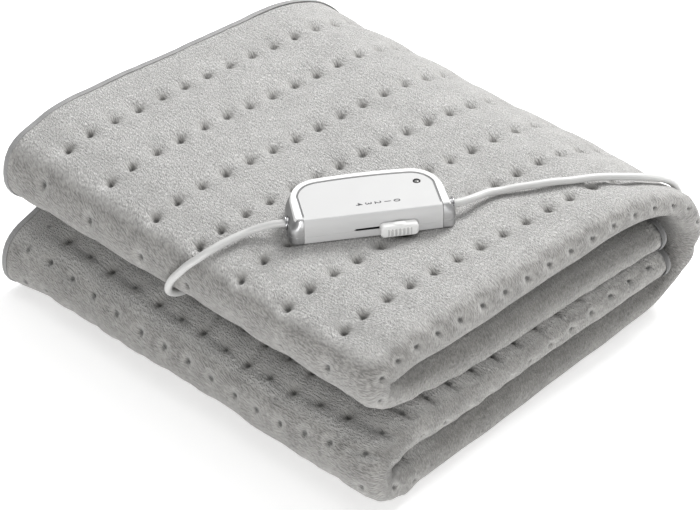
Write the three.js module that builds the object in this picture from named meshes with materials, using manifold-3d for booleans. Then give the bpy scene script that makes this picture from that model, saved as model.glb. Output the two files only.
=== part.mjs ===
// Heated mattress pad, folded for the shelf, with its slide controller lying on top of it.
// The quilted pad is doubled across its width, both ends are folded in to the middle, and the
// bundle is folded once more. Millimetres, +Z up, the origin under the middle of the bundle.
import * as THREE from 'three';
import { mergeVertices } from 'three/addons/utils/BufferGeometryUtils.js';
import Module from 'manifold-3d';

// ---- driving dimensions ------------------------------------------------------------------

const GAP = 0.3; // between pieces that touch

const DEPTH = 400; // the doubled pad, from the rolled edge (-Y) to the bound edge (+Y)
const HOLLOW = 3; // half of the gap that is left between the two plies
const HEM_PLY = 6.5; // the pad pinched in its binding
const HEM_TAPER = 30; // run over which the ply thins towards its binding
const TWIST = THREE.MathUtils.degToRad(-4.6); // turn of the bundle's top layer against its base
const TWIST_HEIGHT = 140; // height at which that turn is reached
const STEPS_PER_SECTION = 2;

const TAPE = 1.2; // binding thickness, both turnings together
const TAPE_LEG = 8; // how far the binding reaches over the pad

const CORD = 5.8; // diameter of both leads

// The controller lies turned on top; front is the bottom of its front left corner.
const CONTROLLER = {
  length: 124, depth: 55.5, height: 20.5,
  turn: -36.1, front: [-129.6, -57.3], base: 142.7,
};
const CORNER = 6; // radius of the controller's front corners
const RIM = 4.3; // width of the raised rim at the back of the face panel
const SHELL = 2; // wall of the face panel
const CAP_WIDTH = 10.2; // metal end caps, along the controller
const CAP_HEIGHT = 18.2; // up to the white rim
const CAP_NOSE = 3.5; // how far back the caps come over the rim's front ends
const EXIT = { depth: 17, height: 8.8, inside: 6, outside: 0.6 }; // rings where the leads leave its ends
const SLOT = { from: 47.5, to: 84.5, height: 7.6, gap: 1.8, depth: 5.5, backing: 1.2 };
const KNOB = { centre: 80, width: 28.5, height: 10.4, base: 1.6, reach: 6, stem: 8.4 };
const RIBS = { count: 5, pitch: 3.2, radius: 0.7 };
const LENS = { along: 101, depth: 35, radius: 2.7, hole: 4 };

// The moulded piece where the lead goes into the pad.
const ENTRY = { start: [97, 45], length: 26, width: 18, thickness: 5.6, base: 66.0 };
const COIL = { centre: [220, -60], across: 64, turnsWide: 3, turnsHigh: 2, base: 1.6 };
const PLUG = { axis: 186, from: 40, length: 36, width: 26, thickness: 13.7, relief: 32 };
const PIN = { gap: 18.6, diameter: 4, length: 19 };

const TAU = Math.PI * 2;

// ---- finishes ----------------------------------------------------------------------------

function finish(color, roughness, metalness = 0) {
  return new THREE.MeshStandardMaterial({ color, roughness, metalness });
}

const FLEECE = finish(0xb9b8b4, 0.95);
const SATIN_TAPE = finish(0x9fa1a3, 0.55);
const WHITE_PLASTIC = finish(0xf2f2f0, 0.35);
const PANEL_PLASTIC = finish(0xe6e6e4, 0.4);
const BRUSHED_METAL = finish(0x9a9b9d, 0.3, 0.9);
const DARK_PLASTIC = finish(0x2a2a2b, 0.6);
const LENS_PLASTIC = finish(0xd8d8d2, 0.15);
const CORD_PVC = finish(0xeceeed, 0.45);
const PIN_METAL = finish(0xc9c6bd, 0.25, 1);

// ---- the folded pad ----------------------------------------------------------------------

// One row per section along the doubled pad, from the upper inner flap's free end, over the top
// and under the bottom, to the lower inner flap's free end. x and z are its middle line; roll and
// hem are half of its thickness at the rolled and at the bound edge; lean and drop are how far
// the section has shifted in x and in z by the time it reaches the bound edge.
const SECTIONS = [
  { x: 133, z: 83.9, roll: 12.8, hem: 10.0, lean: 0, drop: -4 },
  { x: 97, z: 87.0, roll: 16.0, hem: 11.0, lean: 0, drop: -2 },
  { x: 17, z: 89.0, roll: 17.0, hem: 11.5, lean: 0, drop: 0 },
  { x: -63, z: 89.5, roll: 17.0, hem: 11.5, lean: 0, drop: 0 },
  { x: -123, z: 91.5, roll: 15.5, hem: 11.5, lean: -3, drop: -2 },
  { x: -150, z: 96.0, roll: 13.5, hem: 11.5, lean: -8, drop: -4 },
  { x: -163.5, z: 108.5, roll: 13.5, hem: 11.5, lean: -12, drop: -4 },
  { x: -162.5, z: 119.0, roll: 15.0, hem: 11.5, lean: -11, drop: -2 },
  { x: -142, z: 126.0, roll: 16.0, hem: 11.5, lean: -6, drop: 0 },
  { x: -93, z: 126.0, roll: 17.5, hem: 12.0, lean: 0, drop: 0 },
  { x: -23, z: 125.0, roll: 17.5, hem: 12.0, lean: 0, drop: 0 },
  { x: 47, z: 124.5, roll: 17.0, hem: 12.0, lean: 0, drop: -1 },
  { x: 107, z: 122.0, roll: 14.4, hem: 11.5, lean: -2, drop: -4 },
  { x: 146, z: 109.6, roll: 12.1, hem: 10.8, lean: -4, drop: -6 },
  { x: 171, z: 88.5, roll: 12.0, hem: 11.0, lean: -4, drop: -6 },
  { x: 179, z: 64.0, roll: 11.0, hem: 11.0, lean: -2, drop: -2 },
  { x: 168, z: 38.5, roll: 11.5, hem: 11.0, lean: 0, drop: 0 },
  { x: 142, z: 20.5, roll: 13.0, hem: 11.0, lean: 0, drop: -3 },
  { x: 102, z: 15.5, roll: 16.5, hem: 11.0, lean: 0, drop: -3 },
  { x: 17, z: 16.3, roll: 18.0, hem: 11.5, lean: 0, drop: -3.2 },
  { x: -63, z: 16.6, roll: 18.5, hem: 11.5, lean: 0, drop: -3.5 },
  { x: -131, z: 16.8, roll: 17.5, hem: 11.5, lean: 0, drop: -3.5 },
  { x: -161, z: 20.0, roll: 15.5, hem: 11.5, lean: -2, drop: -3 },
  { x: -175, z: 31.0, roll: 14.0, hem: 11.5, lean: -4, drop: -2 },
  { x: -174, z: 44.5, roll: 14.5, hem: 11.5, lean: -4, drop: 0 },
  { x: -154, z: 54.0, roll: 15.5, hem: 11.5, lean: -2, drop: 0 },
  { x: -103, z: 54.0, roll: 17.0, hem: 11.5, lean: 0, drop: 0 },
  { x: -33, z: 53.5, roll: 17.0, hem: 11.5, lean: 0, drop: 0 },
  { x: 37, z: 53.0, roll: 17.0, hem: 11.5, lean: 0, drop: 0 },
  { x: 97, z: 53.0, roll: 16.0, hem: 11.0, lean: 0, drop: 0 },
  { x: 139, z: 52.5, roll: 13.5, hem: 10.0, lean: 0, drop: 0 },
];

// Smooth curve through the sections: cubic pieces whose slopes come from the neighbouring rows.
function stationsAlongPad() {
  const columns = Object.keys(SECTIONS[0]);
  const run = SECTIONS.slice(1).map((row, i) => Math.hypot(row.x - SECTIONS[i].x, row.z - SECTIONS[i].z));
  const slope = (i, key) => {
    const before = i > 0 ? (SECTIONS[i][key] - SECTIONS[i - 1][key]) / run[i - 1] : null;
    const after = i < run.length ? (SECTIONS[i + 1][key] - SECTIONS[i][key]) / run[i] : null;
    if (before === null) return after;
    if (after === null) return before;
    return (before * run[i] + after * run[i - 1]) / (run[i - 1] + run[i]);
  };
  const stations = [];
  run.forEach((length, i) => {
    const last = i === run.length - 1;
    for (let step = 0; step < STEPS_PER_SECTION + (last ? 1 : 0); step++) {
      const t = step / STEPS_PER_SECTION;
      const station = {};
      for (const key of columns) {
        const [a, b] = [SECTIONS[i][key], SECTIONS[i + 1][key]];
        const [ma, mb] = [slope(i, key) * length, slope(i + 1, key) * length];
        station[key] = a + t * (ma + t * (3 * (b - a) - 2 * ma - mb + t * (2 * (a - b) + ma + mb)));
      }
      stations.push(station);
    }
  });
  stations.forEach((here, i) => {
    const before = stations[Math.max(i - 1, 0)];
    const after = stations[Math.min(i + 1, stations.length - 1)];
    const span = Math.hypot(after.x - before.x, after.z - before.z);
    here.tangent = [(after.x - before.x) / span, (after.z - before.z) / span];
    here.span = span;
    const gone = i === 0 ? 0 : stations[i - 1].gone + Math.hypot(here.x - before.x, here.z - before.z);
    here.gone = gone;
  });
  stations.forEach((here, i) => {
    const before = stations[Math.max(i - 1, 0)].tangent;
    const after = stations[Math.min(i + 1, stations.length - 1)].tangent;
    here.bend = (before[0] * after[1] - before[1] * after[0]) / here.span; // + bends towards the normal
    here.fromEnd = Math.min(here.gone, stations[stations.length - 1].gone - here.gone);
  });
  return stations;
}

const STATIONS = stationsAlongPad();

// A point of the band: `across` is y, `out` the offset from the middle line, `along` a run past
// the station in the direction of the pad. On the inside of a bend the offset is squeezed.
function onPad(station, across, out, along = 0) {
  const [tx, tz] = station.tangent;
  const inside = out * station.bend > 0 ? Math.abs(station.bend) : 0;
  const squeeze = Math.min(1, 0.8 / Math.max(inside * station.roll, 1e-6));
  const shift = THREE.MathUtils.clamp(across / DEPTH + 0.5, 0, 1);
  const x = station.x - tz * out * squeeze + tx * along + station.lean * shift;
  const z = station.z + tx * out * squeeze + tz * along + station.drop * shift;
  const turn = (TWIST * z) / TWIST_HEIGHT;
  return [
    x * Math.cos(turn) - across * Math.sin(turn),
    x * Math.sin(turn) + across * Math.cos(turn),
    Math.max(z, 0), // the underside is pressed flat
  ];
}

// Half of the band's thickness at a distance from the bound edge.
function halfThickness(station, fromHem) {
  const fraction = THREE.MathUtils.clamp(fromHem / (DEPTH - station.roll), 0, 1);
  return station.hem + (station.roll - station.hem) * fraction ** 1.6;
}

const ROLL_STEPS = 6;

// The band's section as pairs of points { y, out, nx, ny }, with the outward direction at each,
// from the upper hem round the rolled edge to the lower hem.
function hairpin(station, stopShort = 0) {
  const points = [];
  const straight = DEPTH - station.roll;
  const flat = [0, HEM_TAPER, 0.3 * straight, 0.55 * straight, 0.8 * straight];
  for (const distance of flat) {
    const fromHem = Math.max(distance, stopShort);
    points.push({ y: DEPTH / 2 - fromHem, out: halfThickness(station, fromHem), nx: 0, ny: 1, fromHem });
  }
  for (let i = 0; i <= ROLL_STEPS; i++) {
    const angle = (Math.PI * i) / ROLL_STEPS;
    const [nx, ny] = [-Math.sin(angle), Math.cos(angle)];
    points.push({
      y: -DEPTH / 2 + station.roll + station.roll * nx,
      out: station.roll * ny,
      nx,
      ny,
      fromHem: straight,
    });
  }
  for (const mirrored of points.slice(0, flat.length).reverse()) {
    points.push({ ...mirrored, out: -mirrored.out, ny: -1 });
  }
  return points;
}

// Thickness of one ply: the lofty pad nearly fills its own fold, and it thins towards the bound
// edge and towards its free ends.
function plyAt(station, fromHem) {
  const fromBinding = Math.min(fromHem, station.fromEnd);
  const lofty = halfThickness(station, fromHem) - HOLLOW;
  return HEM_PLY + (lofty - HEM_PLY) * Math.min(fromBinding / HEM_TAPER, 1);
}

// Skin of a closed solid from rings of points, with flat fans of quads for the two end faces:
// each ring runs out along one side and back along the other, so point i faces point last - i.
function loftRings(rings) {
  const size = rings[0].length;
  const positions = rings.flat(2);
  const index = [];
  const quad = (a, b, c, d) => index.push(a, b, c, a, c, d);
  for (let r = 0; r < rings.length - 1; r++) {
    for (let i = 0; i < size; i++) {
      const j = (i + 1) % size;
      quad(r * size + i, r * size + j, (r + 1) * size + j, (r + 1) * size + i);
    }
  }
  const end = (rings.length - 1) * size;
  for (let i = 0; i < size / 2 - 1; i++) {
    const [a, b, c, d] = [i, i + 1, size - 2 - i, size - 1 - i];
    quad(a, d, c, b);
    quad(end + a, end + b, end + c, end + d);
  }
  const geometry = new THREE.BufferGeometry();
  geometry.setAttribute('position', new THREE.Float32BufferAttribute(positions, 3));
  geometry.setIndex(index);
  geometry.computeVertexNormals();
  return geometry;
}

function signedVolume(geometry) {
  const position = geometry.getAttribute('position');
  const index = geometry.getIndex();
  const corner = [new THREE.Vector3(), new THREE.Vector3(), new THREE.Vector3()];
  let volume = 0;
  for (let i = 0; i < index.count; i += 3) {
    corner.forEach((v, k) => v.fromBufferAttribute(position, index.getX(i + k)));
    volume += corner[0].dot(corner[1].clone().cross(corner[2])) / 6;
  }
  return volume;
}

// Turns the faces of a solid outwards.
function facingOut(geometry) {
  if (signedVolume(geometry) > 0) return geometry;
  const index = geometry.getIndex();
  for (let i = 0; i < index.count; i += 3) {
    const first = index.getX(i);
    index.setX(i, index.getX(i + 1));
    index.setX(i + 1, first);
  }
  geometry.computeVertexNormals();
  return geometry;
}

function padSolid() {
  const rings = STATIONS.map((station) => {
    const section = hairpin(station);
    const outer = section.map((p) => onPad(station, p.y, p.out));
    const inner = section.map((p) => {
      const ply = plyAt(station, p.fromHem);
      return onPad(station, p.y - ply * p.nx, p.out - ply * p.ny);
    });
    return [...outer, ...inner.reverse()];
  });
  return facingOut(loftRings(rings));
}

// The binding's U, folded over an edge of the pad: [distance outside the skin, distance past the edge].
const U_SECTION = [
  [GAP + TAPE, -TAPE_LEG],
  [GAP + TAPE, GAP + TAPE],
  [-2 * GAP - TAPE, GAP + TAPE],
  [-2 * GAP - TAPE, -TAPE_LEG],
  [-2 * GAP, -TAPE_LEG],
  [-2 * GAP, GAP],
  [GAP, GAP],
  [GAP, -TAPE_LEG],
];

// Binding along the whole bound edge of one ply: side is +1 for the outer, -1 for the inner ply.
function hemTape(side) {
  const last = STATIONS.length - 1;
  const rings = STATIONS.map((station, i) => {
    const along = i === 0 ? -GAP - TAPE : i === last ? GAP + TAPE : 0;
    return U_SECTION.map(([off, past]) => {
      const fromHem = Math.max(-past, 0);
      const skin = halfThickness(station, fromHem);
      const out = off > 0 ? skin + off : skin - plyAt(station, fromHem) + off;
      return onPad(station, DEPTH / 2 + past, side * out, along);
    });
  });
  return facingOut(loftRings(rings));
}

// Binding across a free end of the doubled pad, round its rolled edge, between the two hem tapes.
// Its legs lie on the pad between the end station and the next one in.
function endTape(end, next, direction) {
  const stopShort = TAPE_LEG + 2 * GAP + TAPE;
  const spacing = Math.hypot(next.x - end.x, next.z - end.z);
  const inner = hairpin(next, stopShort);
  const rings = hairpin(end, stopShort).map((p, k) =>
    U_SECTION.map(([off, past]) => {
      const offSkin = (station, q, along) => {
        const lift = off > 0 ? off : off - plyAt(station, q.fromHem);
        return onPad(station, q.y + lift * q.nx, q.out + lift * q.ny, along);
      };
      if (past > 0) return offSkin(end, p, direction * past);
      const [here, there] = [offSkin(end, p, 0), offSkin(next, inner[k], 0)];
      return here.map((value, axis) => value + ((there[axis] - value) * -past) / spacing);
    }),
  );
  return facingOut(loftRings(rings));
}

// ---- solids by cutting and joining ---------------------------------------------------------

const wasm = await Module();
wasm.setup();

function toSolid(geometry) {
  const bare = geometry.clone();
  bare.deleteAttribute('normal');
  bare.deleteAttribute('uv');
  const merged = mergeVertices(bare, 1e-4);
  const mesh = new wasm.Mesh({
    numProp: 3,
    vertProperties: new Float32Array(merged.getAttribute('position').array),
    triVerts: new Uint32Array(merged.getIndex().array),
  });
  return new wasm.Manifold(mesh);
}

function toGeometry(solid) {
  const mesh = solid.getMesh();
  const geometry = new THREE.BufferGeometry();
  geometry.setAttribute('position', new THREE.Float32BufferAttribute(mesh.vertProperties, 3));
  geometry.setIndex(new THREE.BufferAttribute(mesh.triVerts, 1));
  geometry.computeVertexNormals();
  return geometry;
}

function box(low, high) {
  const size = high.map((value, i) => value - low[i]);
  const geometry = new THREE.BoxGeometry(...size);
  geometry.translate(...low.map((value, i) => value + size[i] / 2));
  return toSolid(geometry);
}

// ---- the controller, in its own frame: x along it, y from its front to its back ------------

// Outlines of the controller seen from above, where it is widest and at its top: how far in from
// the middle of its front and of its left-hand end the front edge and the end lie, the corner's
// radius, and the controls of the curve from the end to the arched back.
const WIDEST = { front: 0, corner: CORNER, end: [0, 1], turn: [[2.2, 40], [9, 53.4]], back: [27, 54.2] };
const TOPMOST = { front: 2.6, corner: 4.4, end: [4.7, 5.3], turn: [[6.2, 40], [13.5, 50.5]], back: [28, 51.6] };
const END_MIDDLE = 27; // depth at which the end turns over into the back corner

// Going round from the front left corner: straight front, ends, large back corners, arched back.
function controllerPlan({ front, corner, end, turn, back }) {
  const { length } = CONTROLLER;
  const [atFront, atMiddle] = end;
  const [[x1, y1], [x2, y2]] = turn;
  const [x3, y3] = back;
  const shape = new THREE.Shape();
  const low = front + corner;
  const near = atFront + corner;
  shape.moveTo(near, front);
  shape.lineTo(length - near, front);
  shape.absarc(length - near, low, corner, -Math.PI / 2, 0, false);
  shape.lineTo(length - atMiddle, END_MIDDLE);
  shape.bezierCurveTo(length - x1, y1, length - x2, y2, length - x3, y3);
  shape.quadraticCurveTo(length / 2, y3 + 2.6, x3, y3);
  shape.bezierCurveTo(x2, y2, x1, y1, atMiddle, END_MIDDLE);
  shape.lineTo(atFront, low);
  shape.absarc(near, low, corner, Math.PI, 1.5 * Math.PI, false);
  const points = shape.getPoints(5);
  return points.filter((p, i) => p.distanceTo(points[(i + 1) % points.length]) > 0.01);
}

// The plan drawn in by a distance, square to its edge at each point.
function inset(points, distance) {
  return points.map((p, i) => {
    const before = points[(i - 1 + points.length) % points.length];
    const after = points[(i + 1) % points.length];
    const tangent = after.clone().sub(before).normalize();
    return new THREE.Vector2(p.x - tangent.y * distance, p.y + tangent.x * distance);
  });
}

// A solid from level outlines, one per row of [height, outline].
function stacked(levels) {
  const rings = levels.map(([height, points]) => points.map((p) => [p.x, p.y, height]));
  const points = levels[0][1];
  const size = points.length;
  const index = [];
  for (let r = 0; r < rings.length - 1; r++) {
    for (let i = 0; i < size; i++) {
      const j = (i + 1) % size;
      const [a, b, c, d] = [r * size + i, r * size + j, (r + 1) * size + j, (r + 1) * size + i];
      index.push(a, b, c, a, c, d);
    }
  }
  const faces = THREE.ShapeUtils.triangulateShape(points, []);
  const top = (rings.length - 1) * size;
  for (const [a, b, c] of faces) {
    index.push(c, b, a);
    index.push(top + a, top + b, top + c);
  }
  const geometry = new THREE.BufferGeometry();
  geometry.setAttribute('position', new THREE.Float32BufferAttribute(rings.flat(2), 3));
  geometry.setIndex(index);
  return toSolid(facingOut(geometry));
}

const CAP_WALL = 1.5;
const PANEL_DROP = 0.5; // the face panel lies this far below the rim's top
const INLAY = { width: 0.8, depth: 1 };
const RING_RADIUS = 4.5;
const PLAN = controllerPlan(WIDEST);
const TOP_PLAN = controllerPlan(TOPMOST);
const H = CONTROLLER.height;
const L = CONTROLLER.length;

// Between its widest and its topmost outline: height below the top, and how far the ends and the
// front and back have gone over to the topmost one. The ends slope, and the front is bull-nosed.
const TAPER = [
  [11, 0, 0],
  [8.5, 0.12, 0.02],
  [6, 0.38, 0.12],
  [3.8, 0.66, 0.3],
  [1.8, 0.86, 0.54],
  [0.6, 0.95, 0.78],
  [0, 1.06, 1.06],
];

// The whole controller's outside, let in by a distance at the top and all round.
function bodyOutside(drop, drawnIn, base = 0) {
  const between = (ends, sides) =>
    PLAN.map((p, i) => {
      const top = TOP_PLAN[i];
      return new THREE.Vector2(p.x + (top.x - p.x) * ends, p.y + (top.y - p.y) * sides);
    });
  return stacked([
    [base, inset(PLAN, drawnIn + 1.2)],
    [base + 1.2, inset(PLAN, drawnIn)],
    ...TAPER.map(([below, ends, sides]) => [H - drop - below, inset(between(ends, sides), drawnIn)]),
  ]);
}
const BELOW = -1; // a cutting tool starts this far under the base

const PANEL_STRAIGHT = 12; // the panel's ends are straight up to this depth

// The space of the face panel: inside the rim at the back and ends, open to the front.
function panelSpace(clearance) {
  const side = CAP_WIDTH + GAP - clearance;
  const reach = inset(TOP_PLAN, RIM - clearance).filter((p) => p.y > PANEL_STRAIGHT);
  const shape = new THREE.Shape();
  shape.moveTo(side, -5);
  shape.lineTo(L - side, -5);
  reach.forEach((p) => shape.lineTo(THREE.MathUtils.clamp(p.x, side, L - side), p.y));
  const geometry = new THREE.ExtrudeGeometry(shape, { depth: H + 10, bevelEnabled: false });
  geometry.translate(0, 0, -5);
  return toSolid(geometry);
}

// The space of an end cap: the end wall below the rim, and the front corner right to the top.
function capSpace(clearance, rightEnd) {
  const width = CAP_WIDTH + clearance;
  const [from, to] = rightEnd ? [L - width, L + 5] : [-5, width];
  const wall = box([from, -5, -5], [to, CONTROLLER.depth + 5, CAP_HEIGHT + clearance]);
  const nose = box([from, -5, -5], [to, CAP_NOSE + clearance, H + 5]);
  return wall.add(nose);
}

// Hole through the end wall for the ring that a lead comes out of.
function exitBore(rightEnd) {
  const reach = EXIT.inside + 1;
  const geometry = new THREE.CylinderGeometry(RING_RADIUS + GAP, RING_RADIUS + GAP, 2 * reach, 24);
  geometry.rotateZ(Math.PI / 2);
  geometry.translate(rightEnd ? L : 0, EXIT.depth, EXIT.height);
  return toSolid(geometry);
}

const slotSpace = () =>
  box([SLOT.from, -5, SLOT.height - SLOT.gap / 2], [SLOT.to, SLOT.depth, SLOT.height + SLOT.gap / 2]);

function lensHole() {
  const radius = LENS.radius + GAP;
  const geometry = new THREE.CylinderGeometry(radius, radius, 2 * LENS.hole, 24);
  geometry.rotateX(Math.PI / 2);
  geometry.translate(LENS.along, LENS.depth, H);
  return toSolid(geometry);
}

function endCap(rightEnd) {
  return bodyOutside(0, 0)
    .intersect(capSpace(0, rightEnd))
    .subtract(bodyOutside(CAP_WALL, CAP_WALL, BELOW))
    .subtract(exitBore(rightEnd));
}

function facePanel() {
  return bodyOutside(PANEL_DROP, 0)
    .intersect(panelSpace(0))
    .subtract(bodyOutside(PANEL_DROP + SHELL, SHELL, BELOW))
    .subtract(inlaySpace(GAP))
    .subtract(slotSpace())
    .subtract(lensHole());
}

// Thin bright line along the foot of the rim, let into the edge of the face panel.
function inlaySpace(clearance) {
  const band = box([0, CORNER, H - PANEL_DROP - INLAY.depth - clearance], [L, CONTROLLER.depth, H]);
  return panelSpace(clearance).intersect(band).subtract(panelSpace(-INLAY.width - clearance));
}

function inlay() {
  const flush = box([0, 0, 0], [L, CONTROLLER.depth, H - PANEL_DROP]);
  return inlaySpace(0).intersect(flush);
}

function housing() {
  const capRoom = (rightEnd) =>
    capSpace(GAP, rightEnd).subtract(bodyOutside(CAP_WALL + GAP, CAP_WALL + GAP, BELOW));
  return bodyOutside(0, 0)
    .subtract(panelSpace(GAP))
    .add(bodyOutside(PANEL_DROP + SHELL + GAP, SHELL + GAP))
    .subtract(capRoom(false))
    .subtract(capRoom(true))
    .subtract(exitBore(false))
    .subtract(exitBore(true))
    .subtract(slotSpace())
    .subtract(lensHole());
}

// Dark strip at the bottom of the slider's slot.
function slotBacking() {
  return box(
    [SLOT.from + GAP, SLOT.depth - SLOT.backing, SLOT.height - SLOT.gap / 2 + GAP],
    [SLOT.to - GAP, SLOT.depth - GAP, SLOT.height + SLOT.gap / 2 - GAP],
  );
}

// An upright rounded rectangle, centred on x, standing on y = 0.
function roundedOutline(width, height, radius) {
  const shape = new THREE.Shape();
  const x = width / 2 - radius;
  shape.absarc(x, radius, radius, -Math.PI / 2, 0, false);
  shape.absarc(x, height - radius, radius, 0, Math.PI / 2, false);
  shape.absarc(-x, height - radius, radius, Math.PI / 2, Math.PI, false);
  shape.absarc(-x, radius, radius, Math.PI, 1.5 * Math.PI, false);
  return shape;
}

// Ribbed thumb piece on the front, with its stem in the slot. Its own x = 0 is its middle.
function sliderKnob() {
  const { width, height, base, reach, stem } = KNOB;
  const bevel = 1.2;
  const block = new THREE.ExtrudeGeometry(roundedOutline(width, height, 3.2), {
    depth: reach - 2 * bevel,
    bevelSize: bevel,
    bevelThickness: bevel,
    bevelOffset: -bevel,
    bevelSegments: 2,
    curveSegments: 4,
  });
  block.translate(0, 0, bevel);
  block.rotateX(Math.PI / 2); // the outline stands up and its thickness reaches forward
  block.translate(0, -GAP, base);
  let knob = toSolid(block);
  for (let i = 0; i < RIBS.count; i++) {
    const rib = new THREE.CylinderGeometry(RIBS.radius, RIBS.radius, height - 4.4, 8);
    rib.rotateX(Math.PI / 2);
    rib.translate((i - (RIBS.count - 1) / 2) * RIBS.pitch, -GAP - reach + 0.2, base + height / 2);
    knob = knob.add(toSolid(rib));
  }
  const clearance = GAP + 0.05;
  const neck = box(
    [-stem / 2, -GAP - 1, SLOT.height - SLOT.gap / 2 + clearance],
    [stem / 2, SLOT.depth - SLOT.backing - GAP, SLOT.height + SLOT.gap / 2 - clearance],
  );
  return knob.add(neck);
}

const revolved = (profile, sides) =>
  new THREE.LatheGeometry(
    profile.map(([radius, along]) => new THREE.Vector2(radius, along)),
    sides,
  );

function indicatorLens() {
  const { radius } = LENS;
  const geometry = revolved(
    [
      [0, -LENS.hole + GAP],
      [radius, -LENS.hole + GAP],
      [radius, -1.6],
      [0.8 * radius, -1.0],
      [0.45 * radius, -0.65],
      [0, -0.55],
    ],
    20,
  );
  geometry.rotateX(Math.PI / 2);
  geometry.translate(LENS.along, LENS.depth, H);
  return toSolid(geometry);
}

// Bright ring that a lead comes out of; the lead's own tube starts inside it.
function exitRing(rightEnd) {
  const bore = CORD / 2 + GAP;
  const geometry = revolved(
    [
      [bore, -EXIT.inside],
      [RING_RADIUS, -EXIT.inside],
      [RING_RADIUS, EXIT.outside - 0.6],
      [RING_RADIUS - 0.6, EXIT.outside],
      [bore, EXIT.outside],
      [bore, -EXIT.inside],
    ],
    24,
  );
  geometry.rotateZ(rightEnd ? -Math.PI / 2 : Math.PI / 2);
  geometry.translate(rightEnd ? L : 0, EXIT.depth, EXIT.height);
  return toSolid(geometry);
}

// ---- leads, coil and plug ------------------------------------------------------------------

// Routes are the middle lines of the leads where they aren't coiled, in the part's own frame.
const PAD_LEAD = [
  [-115.5, -46.5, 151.5],
  [-120.2, -43.1, 151.5],
  [-126.1, -37.5, 150.8],
  [-134.2, -28.9, 147.2],
  [-140.9, -24.0, 144.6],
  [-153.3, -19.0, 142.2],
  [-170.3, -13.0, 137.2],
  [-177.4, -8.5, 132.1],
  [-181.9, -3.3, 126.6],
  [-185.4, 2.2, 119.1],
  [-187.6, 8.0, 110.9],
  [-186.9, 13.0, 101.2],
  [-182.7, 16.5, 92.7],
  [-173.1, 19.6, 84.5],
  [-158.9, 21.8, 78.5],
  [-138.0, 23.8, 73.8],
  [-112.0, 25.8, 71.6],
  [-84.0, 27.8, 71.0],
  [-54.0, 30.2, 70.8],
  [-24.0, 33.0, 70.6],
  [6.0, 36.2, 70.5],
  [36.0, 39.6, 70.3],
  [62.0, 42.6, 69.8],
  [82.0, 44.6, 69.2],
  [96.7, 45.0, 68.9],
];

const MAINS_LEAD = [
  [-23.4, -113.7, 151.5],
  [-18.7, -117.1, 151.5],
  [-13.5, -119.8, 151.5],
  [-4.5, -122.3, 151.0],
  [15.4, -123.0, 146.6],
  [24.6, -125.7, 144.5],
  [35.0, -131.0, 144.4],
  [47.8, -138.8, 144.1],
  [61.4, -146.9, 143.6],
  [74.9, -155.0, 142.0],
  [88.0, -162.2, 141.0],
  [100.0, -168.8, 138.8],
  [111.0, -174.4, 135.8],
  [121.0, -178.8, 132.6],
  [132.0, -182.2, 128.0],
  [144.0, -183.8, 121.8],
  [156.0, -183.2, 114.0],
  [167.4, -182.2, 104.6],
  [176.8, -181.2, 93.0],
  [183.6, -180.4, 78.6],
  [187.8, -179.6, 62.0],
  [189.6, -178.2, 45.6],
  [190.0, -174.6, 30.0],
  [189.6, -167.4, 16.6],
  [188.6, -157.0, 8.0],
  [187.2, -144.6, 3.9],
  [185.4, -130.0, 3.1],
  [183.8, -115.4, 3.1],
  [182.6, -100.4, 3.5],
  [182.2, -83.4, 4.0],
];

const TAIL = [
  [182.2, -36.6, 9.4],
  [182.5, -25.5, 8.3],
  [183.8, -14.5, 7.4],
  [185.3, -3.5, 7.0],
  [186.0, 7.7, 6.9],
];

function tube(points, steps) {
  const path = new THREE.CatmullRomCurve3(points.map((p) => new THREE.Vector3(...p)));
  const section = new THREE.Shape();
  const sides = 10;
  for (let i = 0; i < sides; i++) {
    const angle = (TAU * i) / sides;
    section.lineTo((CORD / 2) * Math.cos(angle), (CORD / 2) * Math.sin(angle));
  }
  return new THREE.ExtrudeGeometry(section, { steps, extrudePath: path, bevelEnabled: false });
}

// Moulded piece sewn to the lower flap, where the lead goes into the pad.
function leadEntry() {
  const { start, length, width, thickness, base } = ENTRY;
  const bevel = 1.5;
  const geometry = new THREE.ExtrudeGeometry(roundedOutline(width, length, 5), {
    depth: thickness - 2 * bevel,
    bevelSize: bevel,
    bevelThickness: bevel,
    bevelOffset: -bevel,
    bevelSegments: 2,
    curveSegments: 4,
  });
  geometry.rotateZ(-Math.PI / 2); // its length runs on from the lead
  geometry.translate(...start, base + bevel);
  return geometry;
}

const COIL_WIDTH = COIL.turnsWide * CORD;
const COIL_HEIGHT = COIL.turnsHigh * CORD;

// Outer shape of the coiled lead: a ring with rounded edges.
function coilRing() {
  const corner = CORD / 2;
  const [w, h] = [COIL_WIDTH / 2 - corner, COIL_HEIGHT / 2 - corner];
  const quarters = [
    [w, h],
    [-w, h],
    [-w, -h],
    [w, -h],
  ];
  const steps = 3;
  const profile = quarters.flatMap(([x, y], quarter) =>
    Array.from({ length: steps + 1 }, (_, i) => {
      const angle = (Math.PI / 2) * (quarter + i / steps);
      return [COIL.across / 2 + x + corner * Math.cos(angle), y + corner * Math.sin(angle)];
    }),
  );
  const geometry = revolved([...profile, profile[0]], 30);
  geometry.rotateX(Math.PI / 2);
  geometry.translate(...COIL.centre, COIL.base + COIL_HEIGHT / 2);
  return toSolid(geometry);
}

// Strap round the coil at its back.
function coilTie() {
  const [width, wall, slack] = [7, 1, 0.5];
  const middle = [COIL.centre[0], COIL.centre[1] + COIL.across / 2, COIL.base + COIL_HEIGHT / 2];
  const block = (half) => box(middle.map((v, i) => v - half[i]), middle.map((v, i) => v + half[i]));
  const [w, h] = [COIL_WIDTH / 2 + slack, COIL_HEIGHT / 2 + slack];
  return block([width / 2, w + wall, h + wall]).subtract(block([width, w, h]));
}

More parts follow.
